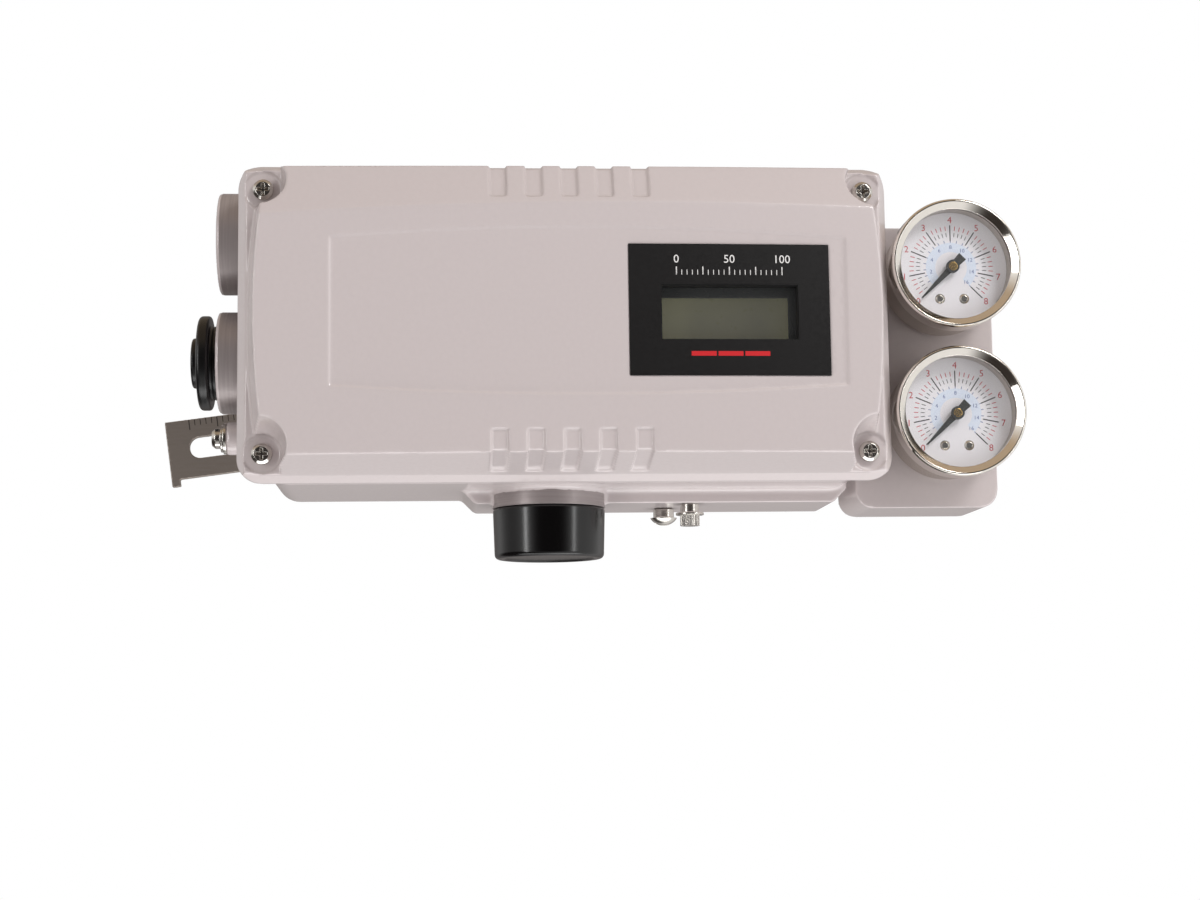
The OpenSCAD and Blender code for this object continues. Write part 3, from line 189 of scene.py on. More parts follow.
def made_of(name, light, dark, roughness, grain, relief, metallic=0.0, along=(1, 1, 1), **sockets):
    """A material with a fine grain in its tone, gloss and relief. Grain and relief are in mm."""
    material = bpy.data.materials.new(name)
    material.use_nodes = True
    tree = material.node_tree
    shader = tree.nodes["Principled BSDF"]
    shader.inputs["Metallic"].default_value = metallic
    for key, value in sockets.items():
        shader.inputs[key.replace("_", " ")].default_value = value
    place = put(tree, "ShaderNodeTexCoord")
    lie = put(tree, "ShaderNodeMapping", {"Vector": place.outputs["Object"], "Scale": along})
    spots = put(tree, "ShaderNodeTexNoise", {"Vector": lie.outputs[0], "Scale": mm / grain,
                                             "Detail": 3.0})
    tone = put(tree, "ShaderNodeMix", {0: spots.outputs["Fac"], 6: srgb(dark), 7: srgb(light)},
               data_type="RGBA")
    gloss = put(tree, "ShaderNodeMapRange", {"Value": spots.outputs["Fac"], "From Min": 0.3,
                                             "From Max": 0.7, "To Min": roughness * 1.12,
                                             "To Max": roughness * 0.88})
    bump = put(tree, "ShaderNodeBump", {"Height": spots.outputs["Fac"], "Strength": 1.0,
                                        "Distance": relief / mm})
    tree.links.new(tone.outputs[2], shader.inputs["Base Color"])
    tree.links.new(gloss.outputs[0], shader.inputs["Roughness"])
    tree.links.new(bump.outputs[0], shader.inputs["Normal"])
    return material


def piece_of(solid, name):
    """A new piece in the scene with the mesh that a bmesh holds."""
    mesh = bpy.data.meshes.new(name)
    solid.to_mesh(mesh)
    piece = bpy.data.objects.new(name, mesh)
    bpy.context.scene.collection.objects.link(piece)
    return piece


def made_plain(piece):
    """Applies a piece's modifiers and returns the plain mesh that it then has."""
    bpy.context.view_layer.update()
    mesh = bpy.data.meshes.new_from_object(
        piece.evaluated_get(bpy.context.evaluated_depsgraph_get()))
    piece.modifiers.clear()
    piece.data = mesh
    mesh.name = piece.name
    return mesh


def softened(node, name, voxel, rounds, most=60000, settle=0.0, trim=None):
    """A copy of a CAD piece with the small radii that real edges have; voxel and settle are in mm.

    Faces within the settle distance go back to the CAD surface, so that only the edges are rounded:
    fully where the two face the same way, and less and less as they turn apart.
    """
    apart, fade = 0.96, 0.03
    melt = bmesh.new()
    melt.from_mesh(frame["nodes"][node].data)
    bmesh.ops.remove_doubles(melt, verts=melt.verts, dist=1e-6)
    piece = piece_of(melt, name)
    skin = piece.modifiers.new("skin", "REMESH")
    skin.mode, skin.voxel_size = "VOXEL", voxel / mm
    radii = piece.modifiers.new("radii", "SMOOTH")
    radii.factor, radii.iterations = 0.5, rounds
    result = made_plain(piece)
    if settle:
        guide = BVHTree.FromBMesh(melt)
        moved = []
        for v in result.vertices:
            spot, normal, _, _ = guide.find_nearest(v.co, settle / mm)
            share = 0.0
            if spot is not None:
                share = min(1.0, max(0.0, (normal.dot(v.normal) - apart) / fade))
            moved.append(v.co.lerp(spot, share) if share else v.co.copy())
        for v, spot in zip(result.vertices, moved):
            v.co = spot
    melt.free()
    if trim:
        trim(result)
    faces = 2 * len(result.polygons)
    if faces > most:
        piece.modifiers.new("thin", "DECIMATE").ratio = most / faces
        result = made_plain(piece)
    result.shade_smooth()
    return piece


def fit(piece, material, slot, *nodes):
    """Gives a new piece its finish and puts it in the place of the CAD nodes it stands for."""
    piece.data.materials.clear()
    piece.data.materials.append(material)
    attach(piece, frame["nodes"][nodes[0]]["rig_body"])
    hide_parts(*nodes)


def coat(material, *nodes):
    """Gives CAD nodes that stay as they are their finish."""
    for node in nodes:
        frame["nodes"][node].data.materials.clear()
        frame["nodes"][node].data.materials.append(material)


# Polyester powder coat on die-cast aluminium: glossy, with a faint orange peel of about 1.5 mm.
powder_coat = made_of("powder_coat_on_die_casting", "#cdc3c2", "#c8bebd", roughness=0.38, grain=1.5,
                      relief=0.002, Coat_Weight=0.8, Coat_Roughness=0.09)
housing = softened("base_housing", "housing_casting", voxel=0.8, rounds=4, most=190000, settle=0.8)
fit(housing, powder_coat, "grey_paint", "base_housing")

# ---- Feedback shaft ---------------------------------------------------------------------------
# A stainless shaft in two flanged bronze bushes, with a brass gear inside held by a spring ring.
# The bushes are pressed into the floor of the housing.

# Stainless steel turned and polished: bright, with a fine grain along the cut.
stainless = made_of("turned_stainless_steel", "#d8d4ce", "#c2beb8", roughness=0.22, grain=0.35,
                    relief=0.002, metallic=1.0)
# Sintered bronze soaked in oil: dull, dotted with pores of about 0.2 mm, drawn at 0.4 mm to show.
sintered_bronze = made_of("oiled_sintered_bronze", "#b48a52", "#8a6436", roughness=0.42, grain=0.4,
                          relief=0.02, metallic=1.0)
# Milled brass: warm and fairly bright.
milled_brass = made_of("milled_brass", "#d6b36c", "#c39c53", roughness=0.26, grain=0.5,
                       relief=0.003, metallic=1.0)
# Hardened spring steel, blackened: dark and slightly glossy.
spring_steel = made_of("blackened_spring_steel", "#4c4b4c", "#3a3939", roughness=0.38, grain=0.5,
                       relief=0.003, metallic=1.0)
coat(stainless, "main_shaft")
coat(sintered_bronze, "shaft_bushes")
coat(milled_brass, "main_gear")
coat(spring_steel, "retaining_ring")

# ---- Position sensor --------------------------------------------------------------------------
# A plastic potentiometer in a bent steel bracket, turned by a nylon pinion on the shaft's gear.
# Two small screws hold the bracket to the floor.

# Phenolic moulding: dark blue with a faint mottle.
phenolic = made_of("blue_phenolic_moulding", "#2b4566", "#233a58", roughness=0.40, grain=1.2,
                   relief=0.004)
# Natural nylon: waxy and warm white.
natural_nylon = made_of("natural_nylon", "#e9e3d2", "#e1dac7", roughness=0.45, grain=1.0, relief=0.004)
coat(phenolic, "potentiometer")
coat(stainless, "pot_bracket", "pot_screws")
coat(natural_nylon, "pot_pinion")

# ---- Torque motor and nozzle ------------------------------------------------------------------
# A soft iron yoke with a copper coil tilts a flapper on a pivot pin in front of a brass nozzle,
# which sets the pilot pressure.

# Annealed soft iron, plated: grey and satin.
soft_iron = made_of("plated_soft_iron", "#8f9092", "#7d7e80", roughness=0.36, grain=0.8,
                    relief=0.004, metallic=1.0)
# Enamelled copper wire, wound: brown copper with bands of about 0.6 mm, one for each turn.
copper_winding = made_of("enamelled_copper_winding", "#a9602f", "#7c4119", roughness=0.30, grain=0.6,
                         relief=0.06, metallic=0.9, along=(0.05, 1, 0.05))
coat(soft_iron, "torque_yoke")
coat(copper_winding, "torque_coil")
coat(stainless, "torque_flapper", "flapper_pivot")
coat(milled_brass, "air_nozzle")

# ---- Pilot valve ------------------------------------------------------------------------------
# A milled aluminium block with a lapped steel spool between two brass end plugs. It is fixed in
# the housing, and the pressure at the nozzle slides the spool.

# Milled aluminium: pale grey with straight cutter marks about 0.6 mm apart.
milled_aluminium = made_of("milled_aluminium", "#c8c9ca", "#b3b4b5", roughness=0.34, grain=0.6,
                           relief=0.006, metallic=1.0, along=(1, 1, 0.04))
coat(milled_aluminium, "pilot_block")
coat(stainless, "pilot_spool")
coat(milled_brass, "pilot_caps")

# ---- Circuit board ----------------------------------------------------------------------------
# A glass-epoxy board on brass pillars, held by six pan-head screws. Its front carries the parts
# that the cover hides: chips with rows of leads, chip resistors, and three tall capacitors.


def corners(node):
    """The lowest and highest corners of a CAD node at rest, in mm."""
    return [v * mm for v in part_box(node)]


def mount(piece, material, body):
    """Gives a piece of its own its finish and the body that it rides on."""
    piece.data.materials.append(material)
    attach(piece, body)
    return piece


def blocks(name, boxes, edge, material, body):
    """One piece of several small blocks with broken edges; a box is its middle and its size, in mm."""
    solid = bmesh.new()
    for middle, size in boxes:
        lump = bmesh.ops.create_cube(solid, size=1.0)["verts"]
        for v in lump:
            v.co = Vector([m + c * s for m, c, s in zip(middle, v.co, size)])
    bmesh.ops.bevel(solid, geom=solid.edges[:], offset=edge, segments=2, profile=0.5, affect="EDGES")
    bmesh.ops.scale(solid, vec=(0.001, 0.001, 0.001), verts=solid.verts)
    piece = piece_of(solid, name)
    solid.free()
    return mount(piece, material, body)


def sockets_of(tree, rows):
    """Gives a geometry tree its named inputs and one output, and returns the input node."""
    for label, kind in rows:
        tree.interface.new_socket(name=label, in_out="INPUT", socket_type="NodeSocket" + kind)
    tree.interface.new_socket(name="Geometry", in_out="OUTPUT", socket_type="NodeSocketGeometry")
    return put(tree, "NodeGroupInput")


def grown(tree, name, at, slot, body, **values):
    """Runs a geometry tree once and puts what it makes at a point, in mm, as a plain piece."""
    piece = bpy.data.objects.new(name, bpy.data.meshes.new(name))
    bpy.context.scene.collection.objects.link(piece)
    run = piece.modifiers.new("grow", "NODES")
    run.node_group = tree
    for item in tree.interface.items_tree:
        if item.item_type == "SOCKET" and item.in_out == "INPUT":
            run[item.identifier] = values[item.name]
    made_plain(piece).transform(Matrix.Translation(Vector(at) / mm))
    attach(piece, body)
    return piece


# A straight grid of equal bars: rows of leads, printed ticks and stamped graduations.
bar_grid = bpy.data.node_groups.new("bar_grid", "GeometryNodeTree")
given = sockets_of(bar_grid, (("Count", "Int"), ("Rows", "Int"), ("Pitch", "Float"),
                              ("Row_gap", "Float"), ("Bar", "Vector"), ("Finish", "Material")))
in_row = given.outputs["Count"]
total = put(bar_grid, "ShaderNodeMath", {0: in_row, 1: given.outputs["Rows"]}, operation="MULTIPLY")
number = put(bar_grid, "GeometryNodeInputIndex")
column = put(bar_grid, "ShaderNodeMath", {0: number.outputs[0], 1: in_row}, operation="MODULO")
row = put(bar_grid, "ShaderNodeMath", {0: number.outputs[0], 1: in_row}, operation="DIVIDE")
row = put(bar_grid, "ShaderNodeMath", {0: row.outputs[0]}, operation="FLOOR")
x = put(bar_grid, "ShaderNodeMath", {0: column.outputs[0], 1: given.outputs["Pitch"]},
        operation="MULTIPLY")
z = put(bar_grid, "ShaderNodeMath", {0: row.outputs[0], 1: given.outputs["Row_gap"]},
        operation="MULTIPLY")
spot = put(bar_grid, "ShaderNodeCombineXYZ", {"X": x.outputs[0], "Z": z.outputs[0]})
points = put(bar_grid, "GeometryNodePoints", {"Count": total.outputs[0], "Position": spot.outputs[0]})
bar = put(bar_grid, "GeometryNodeMeshCube", {"Size": given.outputs["Bar"]})
laid = put(bar_grid, "GeometryNodeInstanceOnPoints", {"Points": points.outputs[0],
                                                      "Instance": bar.outputs["Mesh"]})
solid_bars = put(bar_grid, "GeometryNodeRealizeInstances", {"Geometry": laid.outputs[0]})
dressed = put(bar_grid, "GeometryNodeSetMaterial", {"Geometry": solid_bars.outputs[0],
                                                    "Material": given.outputs["Finish"]})
put(bar_grid, "NodeGroupOutput", {0: dressed.outputs[0]})


def bar_row(name, count, pitch, bar, at, finish, slot, body, rows=1, row_gap=0.0):
    """A grid of bars whose first bar is at the point given; all sizes in mm."""
    return grown(bar_grid, name, at, slot, body, Count=count, Rows=rows, Pitch=pitch / mm,
                 Row_gap=row_gap / mm, Bar=[b / mm for b in bar], Finish=finish)


def turned(name, outline, at, along, steps=96):
    """A closed solid turned about an axis: outline is (radius, length, corner radius), all in mm."""
    arc_points, on_axis = 6, 1e-6
    long_side, edge_hold = 0.7, 0.2    # a longer side gets a point near each end, to shade flat
    line = []
    for i, (r, h, corner) in enumerate(outline):
        here = Vector((r, h))
        back = Vector(outline[i - 1][:2]) - here
        on = Vector(outline[(i + 1) % len(outline)][:2]) - here
        if corner <= 0:
            line.append(here)
            continue
        half = back.angle(on) / 2
        cut = min(corner / math.tan(half), 0.49 * back.length, 0.49 * on.length)
        start, end = here + back.normalized() * cut, here + on.normalized() * cut
        middle = here + (back.normalized() + on.normalized()).normalized() * (cut / math.cos(half))
        sweep = (start - middle).angle(end - middle)
        for k in range(arc_points):
            share = k / (arc_points - 1)
            a, b = math.sin((1 - share) * sweep), math.sin(share * sweep)
            line.append(middle + ((start - middle) * a + (end - middle) * b) / math.sin(sweep))
    full = []
    for i, here in enumerate(line):
        full.append(here)
        following = line[(i + 1) % len(line)]
        gap = following - here
        if gap.length > long_side and not (here.x < on_axis and following.x < on_axis):
            full += [here + gap.normalized() * edge_hold,
                     here + gap.normalized() * (gap.length - edge_hold)]
    solid = bmesh.new()
    rows = []
    for p in full:
        ring = []
        for k in range(1 if p.x < on_axis else steps):
            a = math.tau * k / steps
            u, v = p.x * math.cos(a), p.x * math.sin(a)
            spot = {"X": (p.y, u, v), "Y": (u, p.y, v), "Z": (u, v, p.y)}[along]
            ring.append(solid.verts.new((Vector(spot) + Vector(at)) / mm))
        rows.append(ring)
    for i, a in enumerate(rows):
        b = rows[(i + 1) % len(rows)]
        for k in range(steps):
            loop = [a[k % len(a)], a[(k + 1) % len(a)], b[(k + 1) % len(b)], b[k % len(b)]]
            loop = [v for j, v in enumerate(loop) if v not in loop[:j]]
            if len(loop) > 2:
                solid.faces.new(loop)
    bmesh.ops.recalc_face_normals(solid, faces=solid.faces)
    piece = piece_of(solid, name)
    solid.free()
    piece.data.shade_smooth()
    return piece


# Solder resist on glass epoxy: green and glossy, with the weave of the glass showing at 0.7 mm.
solder_resist = made_of("solder_resist_on_glass_epoxy", "#2f7450", "#27663f", roughness=0.28, grain=0.7,
                        relief=0.01)
# Moulded epoxy of chip packages: matt charcoal.
chip_epoxy = made_of("moulded_chip_epoxy", "#2c2c2e", "#232325", roughness=0.55, grain=0.3, relief=0.006)
# Tinned leads: soft grey metal.
tinned_copper = made_of("tinned_copper", "#c9cacb", "#b7b8b9", roughness=0.34, grain=0.4, relief=0.002,
                        metallic=1.0)
# Sintered ceramic of chip resistors and capacitors: buff and matt.
fired_ceramic = made_of("fired_ceramic", "#b9a27a", "#9d8760", roughness=0.5, grain=0.3, relief=0.004)
# Sleeved aluminium cans: dark blue shrink film.
shrink_sleeve = made_of("pvc_shrink_sleeve", "#27304e", "#1f2740", roughness=0.32, grain=0.8,
                        relief=0.003)
coat(solder_resist, "main_pcb")
coat(milled_brass, "pcb_pillars")
coat(stainless, "pcb_screws")
board_front = corners("main_pcb")[0].y
# Each chip: the x and z of its middle, its width and its height. Its leads are 1.27 mm apart.
chips = ((-22, 36, 18, 8), (8, 36, 14, 7), (38, 40, 10, 10), (30, 12, 9, 6))
lead_pitch = 1.27
blocks("chip_packages", [((cx, board_front - 1.0, cz), (cw, 1.6, ch)) for cx, cz, cw, ch in chips], 0.15,
       chip_epoxy, "housing")
for i, (cx, cz, cw, ch) in enumerate(chips):
    count = int((cw - 1) / lead_pitch)
    first_lead = (cx - lead_pitch * (count - 1) / 2, board_front - 0.16, cz - ch / 2 - 0.5)
    bar_row("chip_leads_%d" % (i + 1), count, lead_pitch, (0.42, 0.3, 1.5), first_lead, tinned_copper,
            "stainless", "housing", rows=2, row_gap=ch + 1.0)
# Each field of chip resistors: the x and z of the first, how many stand in a row, and the rows.
resistors = ((-30, 22, 9, 2), (-2, 24, 7, 3), (52, 46, 12, 2), (24, -12, 12, 2))
resistor_pitch, resistor_gap = 3.1, 3.4
for i, (cx, cz, count, rows) in enumerate(resistors):
    bar_row("chip_resistors_%d" % (i + 1), count, resistor_pitch, (2.0, 0.6, 1.25),
            (cx, board_front - 0.3, cz), fired_ceramic, "black_plastic", "housing", rows, resistor_gap)
    bar_row("chip_end_caps_%d" % (i + 1), 2 * count, resistor_pitch / 2, (0.35, 0.66, 1.27),
            (cx - 0.78, board_front - 0.32, cz), tinned_copper, "stainless", "housing", rows,
            resistor_gap)
can_outline = [(0, -10.2, 0), (3.0, -10.2, 0.2), (3.4, -10.6, 0.3), (4.0, -10.0, 0.5), (4.0, -1.9, 0.3),
               (3.7, -1.5, 0.3), (4.0, -1.1, 0.3), (4.0, 0, 0.2), (0, 0, 0)]
for i, (cx, cz) in enumerate(((58, 24), (58, 13), (58, 2))):
    can = turned("capacitor_can_%d" % (i + 1), can_outline, (cx, board_front, cz), "Y", 40)
    mount(can, shrink_sleeve, "housing")
bar_row("board_tracks", 14, 2.2, (0.45, 0.05, 26.0), (-31, board_front - 0.02, 17), solder_resist,
        "board", "housing")

# ---- Display, keys and terminals --------------------------------------------------------------
# A liquid crystal display in a black bezel, four red push buttons under it, and a green terminal
# block for the signal wires, all soldered to the board.

# Moulded black nylon: near black, satin, with a fine spark-eroded texture.
black_nylon = made_of("moulded_black_nylon", "#111112", "#0b0a0b", roughness=0.30, grain=0.35,
                      relief=0.004)
# Liquid crystal glass over a reflector: flat greenish grey.
lcd_face = made_of("reflective_liquid_crystal", "#c6c398", "#bdba8f", roughness=0.30, grain=3.0,
                   relief=0.0005)
# Green polyamide of a terminal block: satin, with a fine mottle.
green_polyamide = made_of("green_polyamide", "#4b8c58", "#407c4c", roughness=0.42, grain=0.6,
                          relief=0.004)
# Red button caps: glossy moulded plastic.
red_plastic = made_of("moulded_red_plastic", "#c23a30", "#b2322a", roughness=0.32, grain=0.6,
                      relief=0.003)
coat(black_nylon, "lcd_module", "button_bases")
coat(lcd_face, "lcd_glass")
coat(red_plastic, "button_up", "button_down", "button_enter", "button_escape")
coat(green_polyamide, "terminal_block")
coat(stainless, "terminal_screws")

# ---- Gasket -----------------------------------------------------------------------------------
# A rubber cord in the groove of the housing's flange keeps water out under the cover, and a gasket
# of the same rubber lies under the gauge block.

# Nitrile rubber: black and matt.
rubber = made_of("nitrile_rubber", "#242424", "#1a1a1a", roughness=0.70, grain=0.5, relief=0.006)
coat(rubber, "cover_gasket", "block_gasket")

# ---- Cover ------------------------------------------------------------------------------------
# The front half of the case: a die casting with bowed sides, an arched crease, grip grooves and a
# shallow plain panel, held by four screws in scooped corners. It has the same powder coat.
cover_low, cover_high = corners("cover_shell")
cover_x = (cover_low.x + cover_high.x) / 2
bulge_r, panel_d = 2200.0, 0.5


def bulge(x):
    """How far the cover's bulged front falls back from its foremost line, in mm."""
    return bulge_r - math.sqrt(bulge_r ** 2 - (x - cover_x) ** 2)


def true_front(mesh):
    """Puts the nearly flat faces of the front on its one smooth bulge, and the panel's below it."""
    forwards, near = -0.98, 0.2
    flat = [v.index for v in mesh.vertices if v.normal.y < forwards]
    for i in flat:
        spot = mesh.vertices[i].co
        level = cover_low.y + bulge(spot.x * mm)
        for step in (0.0, panel_d):
            if abs(spot.y * mm - level - step) < near:
                spot.y = (level + step) / mm


cover = softened("cover_shell", "cover_casting", voxel=0.45, rounds=4, most=195000, settle=0.5,
                 trim=true_front)
fit(cover, powder_coat, "grey_paint", "cover_shell")
screws = softened("cover_screws", "cover_screw_set", voxel=0.13, rounds=1, most=80000)
fit(screws, stainless, "stainless", "cover_screws")

# ---- Display window and label -----------------------------------------------------------------
# A clear pane lies behind an opening in the cover, in a black frame. A black polyester label with
# an opening of its own is stuck in front of it, over a black foam gasket that lines the opening.

# Screen-printed polyester film: warm black and satin.
printed_film = made_of("printed_polyester_film", "#0f0d0e", "#0b090a", roughness=0.40, grain=0.6,
                       relief=0.002)
# Clear glass: a thin pane bends light very little, so it is drawn as a faint glossy veil.
clear_glass = made_of("clear_float_glass", "#f2f6f5", "#eef3f2", roughness=0.03, grain=6.0,
                      relief=0.0002, Alpha=0.03)
# Closed-cell foam: black, matt.
foam = made_of("closed_cell_foam", "#141414", "#0c0c0c", roughness=0.85, grain=0.4, relief=0.02)
# Screen inks: flat white and red with a fine print grain.
white_ink = made_of("white_screen_ink", "#eceae8", "#dedcda", roughness=0.5, grain=0.25, relief=0.002)
red_ink = made_of("red_screen_ink", "#d3141f", "#c2101a", roughness=0.45, grain=0.25, relief=0.002)
coat(printed_film, "display_label")
coat(clear_glass, "display_window")
coat(black_nylon, "window_frame")
label_low, label_high = corners("display_label")
pane_low, pane_high = corners("display_window")
label_sunk, foam_sunk = 0.2, 0.45    # how far they lie behind the cover's bulged front
pane_lap, foam_wall = 2.9, 0.3       # what the opening's edge covers of the pane; the foam's wall
mid_x = (pane_low.x + pane_high.x) / 2
mid_z = (pane_low.z + pane_high.z) / 2
open_x = (pane_high.x - pane_low.x) / 2 - pane_lap
open_z = (pane_high.z - pane_low.z) / 2 - pane_lap
back, front = pane_low.y - 0.02, pane_low.y - 4.0
mid_y, deep = (back + front) / 2, back - front
uprights = [((mid_x + s * (open_x - foam_wall / 2), mid_y, mid_z), (foam_wall, deep, 2 * open_z))
            for s in (-1, 1)]
crossbars = [((mid_x, mid_y, mid_z + s * (open_z - foam_wall / 2)),
              (2 * open_x - 2 * foam_wall, deep, foam_wall)) for s in (-1, 1)]
gasket = blocks("window_foam_gasket", uprights + crossbars, 0.05, foam, "cover")
for v in gasket.data.vertices:
    if v.co.y * mm < mid_y:
        v.co.y = (cover_low.y + foam_sunk + bulge(v.co.x * mm)) / mm


def on_front(piece, proud):
    """Moves a flat print onto the bulged front of the label; proud is in mm."""
    for v in piece.data.vertices:
        v.co.y += (cover_low.y + label_sunk + bulge(v.co.x * mm) - proud) / mm


def numerals(name, words, height, ink, body):
    """Printed figures as one thin mesh facing forwards; words is (text, x, z) in mm at y = 0."""
    type_size, ink_depth = 700, 0.00001    # a figure stands 0.7 of its type's size, which is in metres
    print_sheet = bmesh.new()
    for text, x, z in words:
        curve = bpy.data.curves.new(name, "FONT")
        curve.body, curve.size, curve.extrude = text, height / type_size, ink_depth
        curve.resolution_u, curve.align_x, curve.align_y = 3, "CENTER", "CENTER"
        stamp = bpy.data.objects.new(name, curve)
        bpy.context.scene.collection.objects.link(stamp)
        bpy.context.view_layer.update()
        mesh = bpy.data.meshes.new_from_object(
            stamp.evaluated_get(bpy.context.evaluated_depsgraph_get()))
        mesh.transform(Matrix.Translation((x / mm, 0, z / mm)) @ Matrix.Rotation(math.pi / 2, 4, "X"))
        print_sheet.from_mesh(mesh)
        bpy.data.objects.remove(stamp)
        bpy.data.meshes.remove(mesh)
        bpy.data.curves.remove(curve)
    piece = piece_of(print_sheet, name)
    print_sheet.free()
    return mount(piece, ink, body)


# A plain scale from 0 to 100 above the window, and a row of three bars below it.
scale_half, bar_pitch, ink_proud = 17, 8.6, 0.02
scale_left, figures_z = mid_x - scale_half, label_high.z - 5.0
on_front(bar_row("label_scale", 21, 1.7, (0.22, 0.03, 1.6), (scale_left, 0, label_high.z - 9.2),
                 white_ink, "label", "cover"), ink_proud)
on_front(bar_row("label_scale_tens", 5, 8.5, (0.34, 0.03, 2.6), (scale_left, 0, label_high.z - 8.7),
                 white_ink, "label", "cover"), ink_proud)
on_front(numerals("label_figures", [("0", scale_left, figures_z), ("50", mid_x, figures_z),
                                    ("100", mid_x + scale_half, figures_z)],
                  2.6, white_ink, "cover"), ink_proud)
on_front(bar_row("label_red_bars", 3, bar_pitch, (8.0, 0.03, 1.5),
                 (mid_x - bar_pitch, 0, label_low.z + 7.0), red_ink, "label", "cover"), ink_proud)

# ---- Cable entries and earth screw ------------------------------------------------------------
# The two entry bosses are turned bare metal, sleeved in bands of a darker grey that paints the shade the
# cover casts on them. The upper one is open for a cable and shows its thread; a black plug is screwed
# into the lower one. The earth screw below them is stainless.
plug_low, plug_high = corners("conduit_plug")
plug_at = (plug_low.x, (plug_low.y + plug_high.y) / 2, (plug_low.z + plug_high.z) / 2)
plug_r = (plug_high.y - plug_low.y) / 2
plug_l = plug_high.x - plug_low.x
plug = turned("entry_plug", [(0, 1.2, 0), (5.0, 1.2, 0.3), (5.6, 0, 0.5), (8.5, 0, 0.8), (8.5, 2.4, 0.4),
                             (plug_r, 2.4, 1.4), (plug_r, 6.4, 0.9), (12.6, 6.4, 0.3), (12.6, 7.2, 0.1),
                             (12.1, 7.5, 0.1), (12.6, 7.8, 0.1), (12.6, 8.9, 0.1), (9.0, 8.9, 0.2),
                             (9.0, plug_l, 0.6), (0, plug_l, 0)], plug_at, "X")
fit(plug, black_nylon, "black_plastic", "conduit_plug")
# Turned cast aluminium without paint: mid grey, drawn darker than the bare metal is as painted shade
# from the cover on the bosses, with the lathe's rings drawn 0.7 mm apart to show.
entry_metal_and_shade = made_of("entry_casting_and_painted_shade", "#b3aaa9", "#928988", roughness=0.42, grain=0.7,
                       relief=0.02, metallic=0.35, along=(1, 0.03, 0.03))
boss_r, boss_l, boss_end, entry_pitch = 17.2, 17.0, plug_low.x + 9.0, 41.0
band_wall, band_proud = 1, 0.06
# Each band sleeves a boss in the darker grey, which is painted shade from the cover over bare metal.
for name, height in (("lower_entry_shade_band", 0.0), ("upper_entry_shade_band", entry_pitch)):
    band = turned(name, [(boss_r - band_wall, 1.0, 0), (boss_r + band_proud, 1.0, 0.1),
                         (boss_r + band_proud, boss_l, 0.1), (boss_r - band_wall, boss_l, 0)],
                  (boss_end, plug_at[1], plug_at[2] + height), "X")
    mount(band, entry_metal_and_shade, "housing")
entry_r, thread_turns, half_pitch, thread_radii = 9.28, 7, 0.75, (9.12, 8.5)
ridges = [(entry_r, 0.2, 0)]
for i in range(2 * thread_turns + 1):
    ridges.append((thread_radii[i % 2], 0.3 + half_pitch * i, 0.06))
ridges.append((entry_r, ridges[-1][1] + 0.1, 0))
thread = turned("open_entry_thread", ridges, (boss_end, plug_at[1], plug_at[2] + entry_pitch), "X", 64)
mount(thread, milled_aluminium, "housing")
side_screw = softened("earth_screw_side", "earth_screw_set", voxel=0.14, rounds=2)
fit(side_screw, stainless, "stainless", "earth_screw_side")

# ---- Vent cap and under-screws ----------------------------------------------------------------
# A glossy black cap with a felt disc inside lets the used air out, screwed to a collar that is left
# bare metal. Beside it are the domed selector screw and a small knurled earth screw.
vent_low, vent_high = corners("vent_cap")
vent_at = ((vent_low.x + vent_high.x) / 2, (vent_low.y + vent_high.y) / 2, vent_low.z)
vent_r = (vent_high.x - vent_low.x) / 2
vent_h = vent_high.z - vent_low.z
vent = turned("vent_cap_moulding", [(0, 0.5, 0), (vent_r - 4.2, 0.5, 0.4), (vent_r - 3.6, 0, 0.4),
                                    (vent_r - 0.5, 0, 2.0), (vent_r, vent_h - 0.7, 0.3),
                                    (vent_r - 0.4, vent_h, 0.3), (0, vent_h, 0)], vent_at, "Z")
# Glossy moulded nylon: deep black with sharp highlights.
gloss_nylon = made_of("gloss_black_nylon", "#0a090a", "#060506", roughness=0.20, grain=0.5, relief=0.002)
fit(vent, gloss_nylon, "black_plastic", "vent_cap")
# Turned cast aluminium without paint: mid grey, with the lathe's rings drawn 0.7 mm apart to show.
bare_casting = made_of("turned_bare_casting", "#aca3a2", "#8b8281", roughness=0.42, grain=0.7,
                       relief=0.02, metallic=0.35, along=(0.03, 0.03, 1))
collar_low, collar_high = vent_h + 0.15, vent_h + 5.7
collar = turned("vent_collar_band", [(vent_r - band_wall, collar_low, 0),
                                     (vent_r + band_proud, collar_low, 0.1),
                                     (vent_r + band_proud, collar_high, 0.1),
                                     (vent_r - band_wall, collar_high, 0)], vent_at, "Z")
mount(collar, bare_casting, "housing")
# Pressed wool felt: off-white, matt and fibrous.
felt = made_of("pressed_wool_felt", "#ddd9ca", "#c9c4b2", roughness=0.9, grain=0.4, relief=0.05)
coat(felt, "vent_filter")
selector = softened("auto_manual_screw", "selector_screw", voxel=0.14, rounds=2)
fit(selector, stainless, "stainless", "auto_manual_screw")
low_screw = softened("earth_screw_low", "knurled_earth_screw", voxel=0.12, rounds=1)
fit(low_screw, stainless, "stainless", "earth_screw_low")

# ---- Gauge block ------------------------------------------------------------------------------
# A small aluminium casting screwed to the right side over a gasket. It carries the two gauges and
# the air ports, and has the same powder coat.
block = softened("gauge_block", "gauge_block_casting", voxel=0.5, rounds=4, most=120000, settle=0.5)
fit(block, powder_coat, "grey_paint", "gauge_block")
coat(stainless, "block_screws")

# ---- Gauges -----------------------------------------------------------------------------------
# Two 40 mm pressure gauges: a pressed steel case, a chrome-plated bezel, a flat glass, an enamelled
# dial with two printed scales, and a black pointer on the movement's spindle.

# Pressed steel, plated: bright, with a soft draw grain.
pressed_steel = made_of("plated_pressed_steel", "#cfc7bd", "#beb6ad", roughness=0.24, grain=0.8,
                        relief=0.002, metallic=1.0)
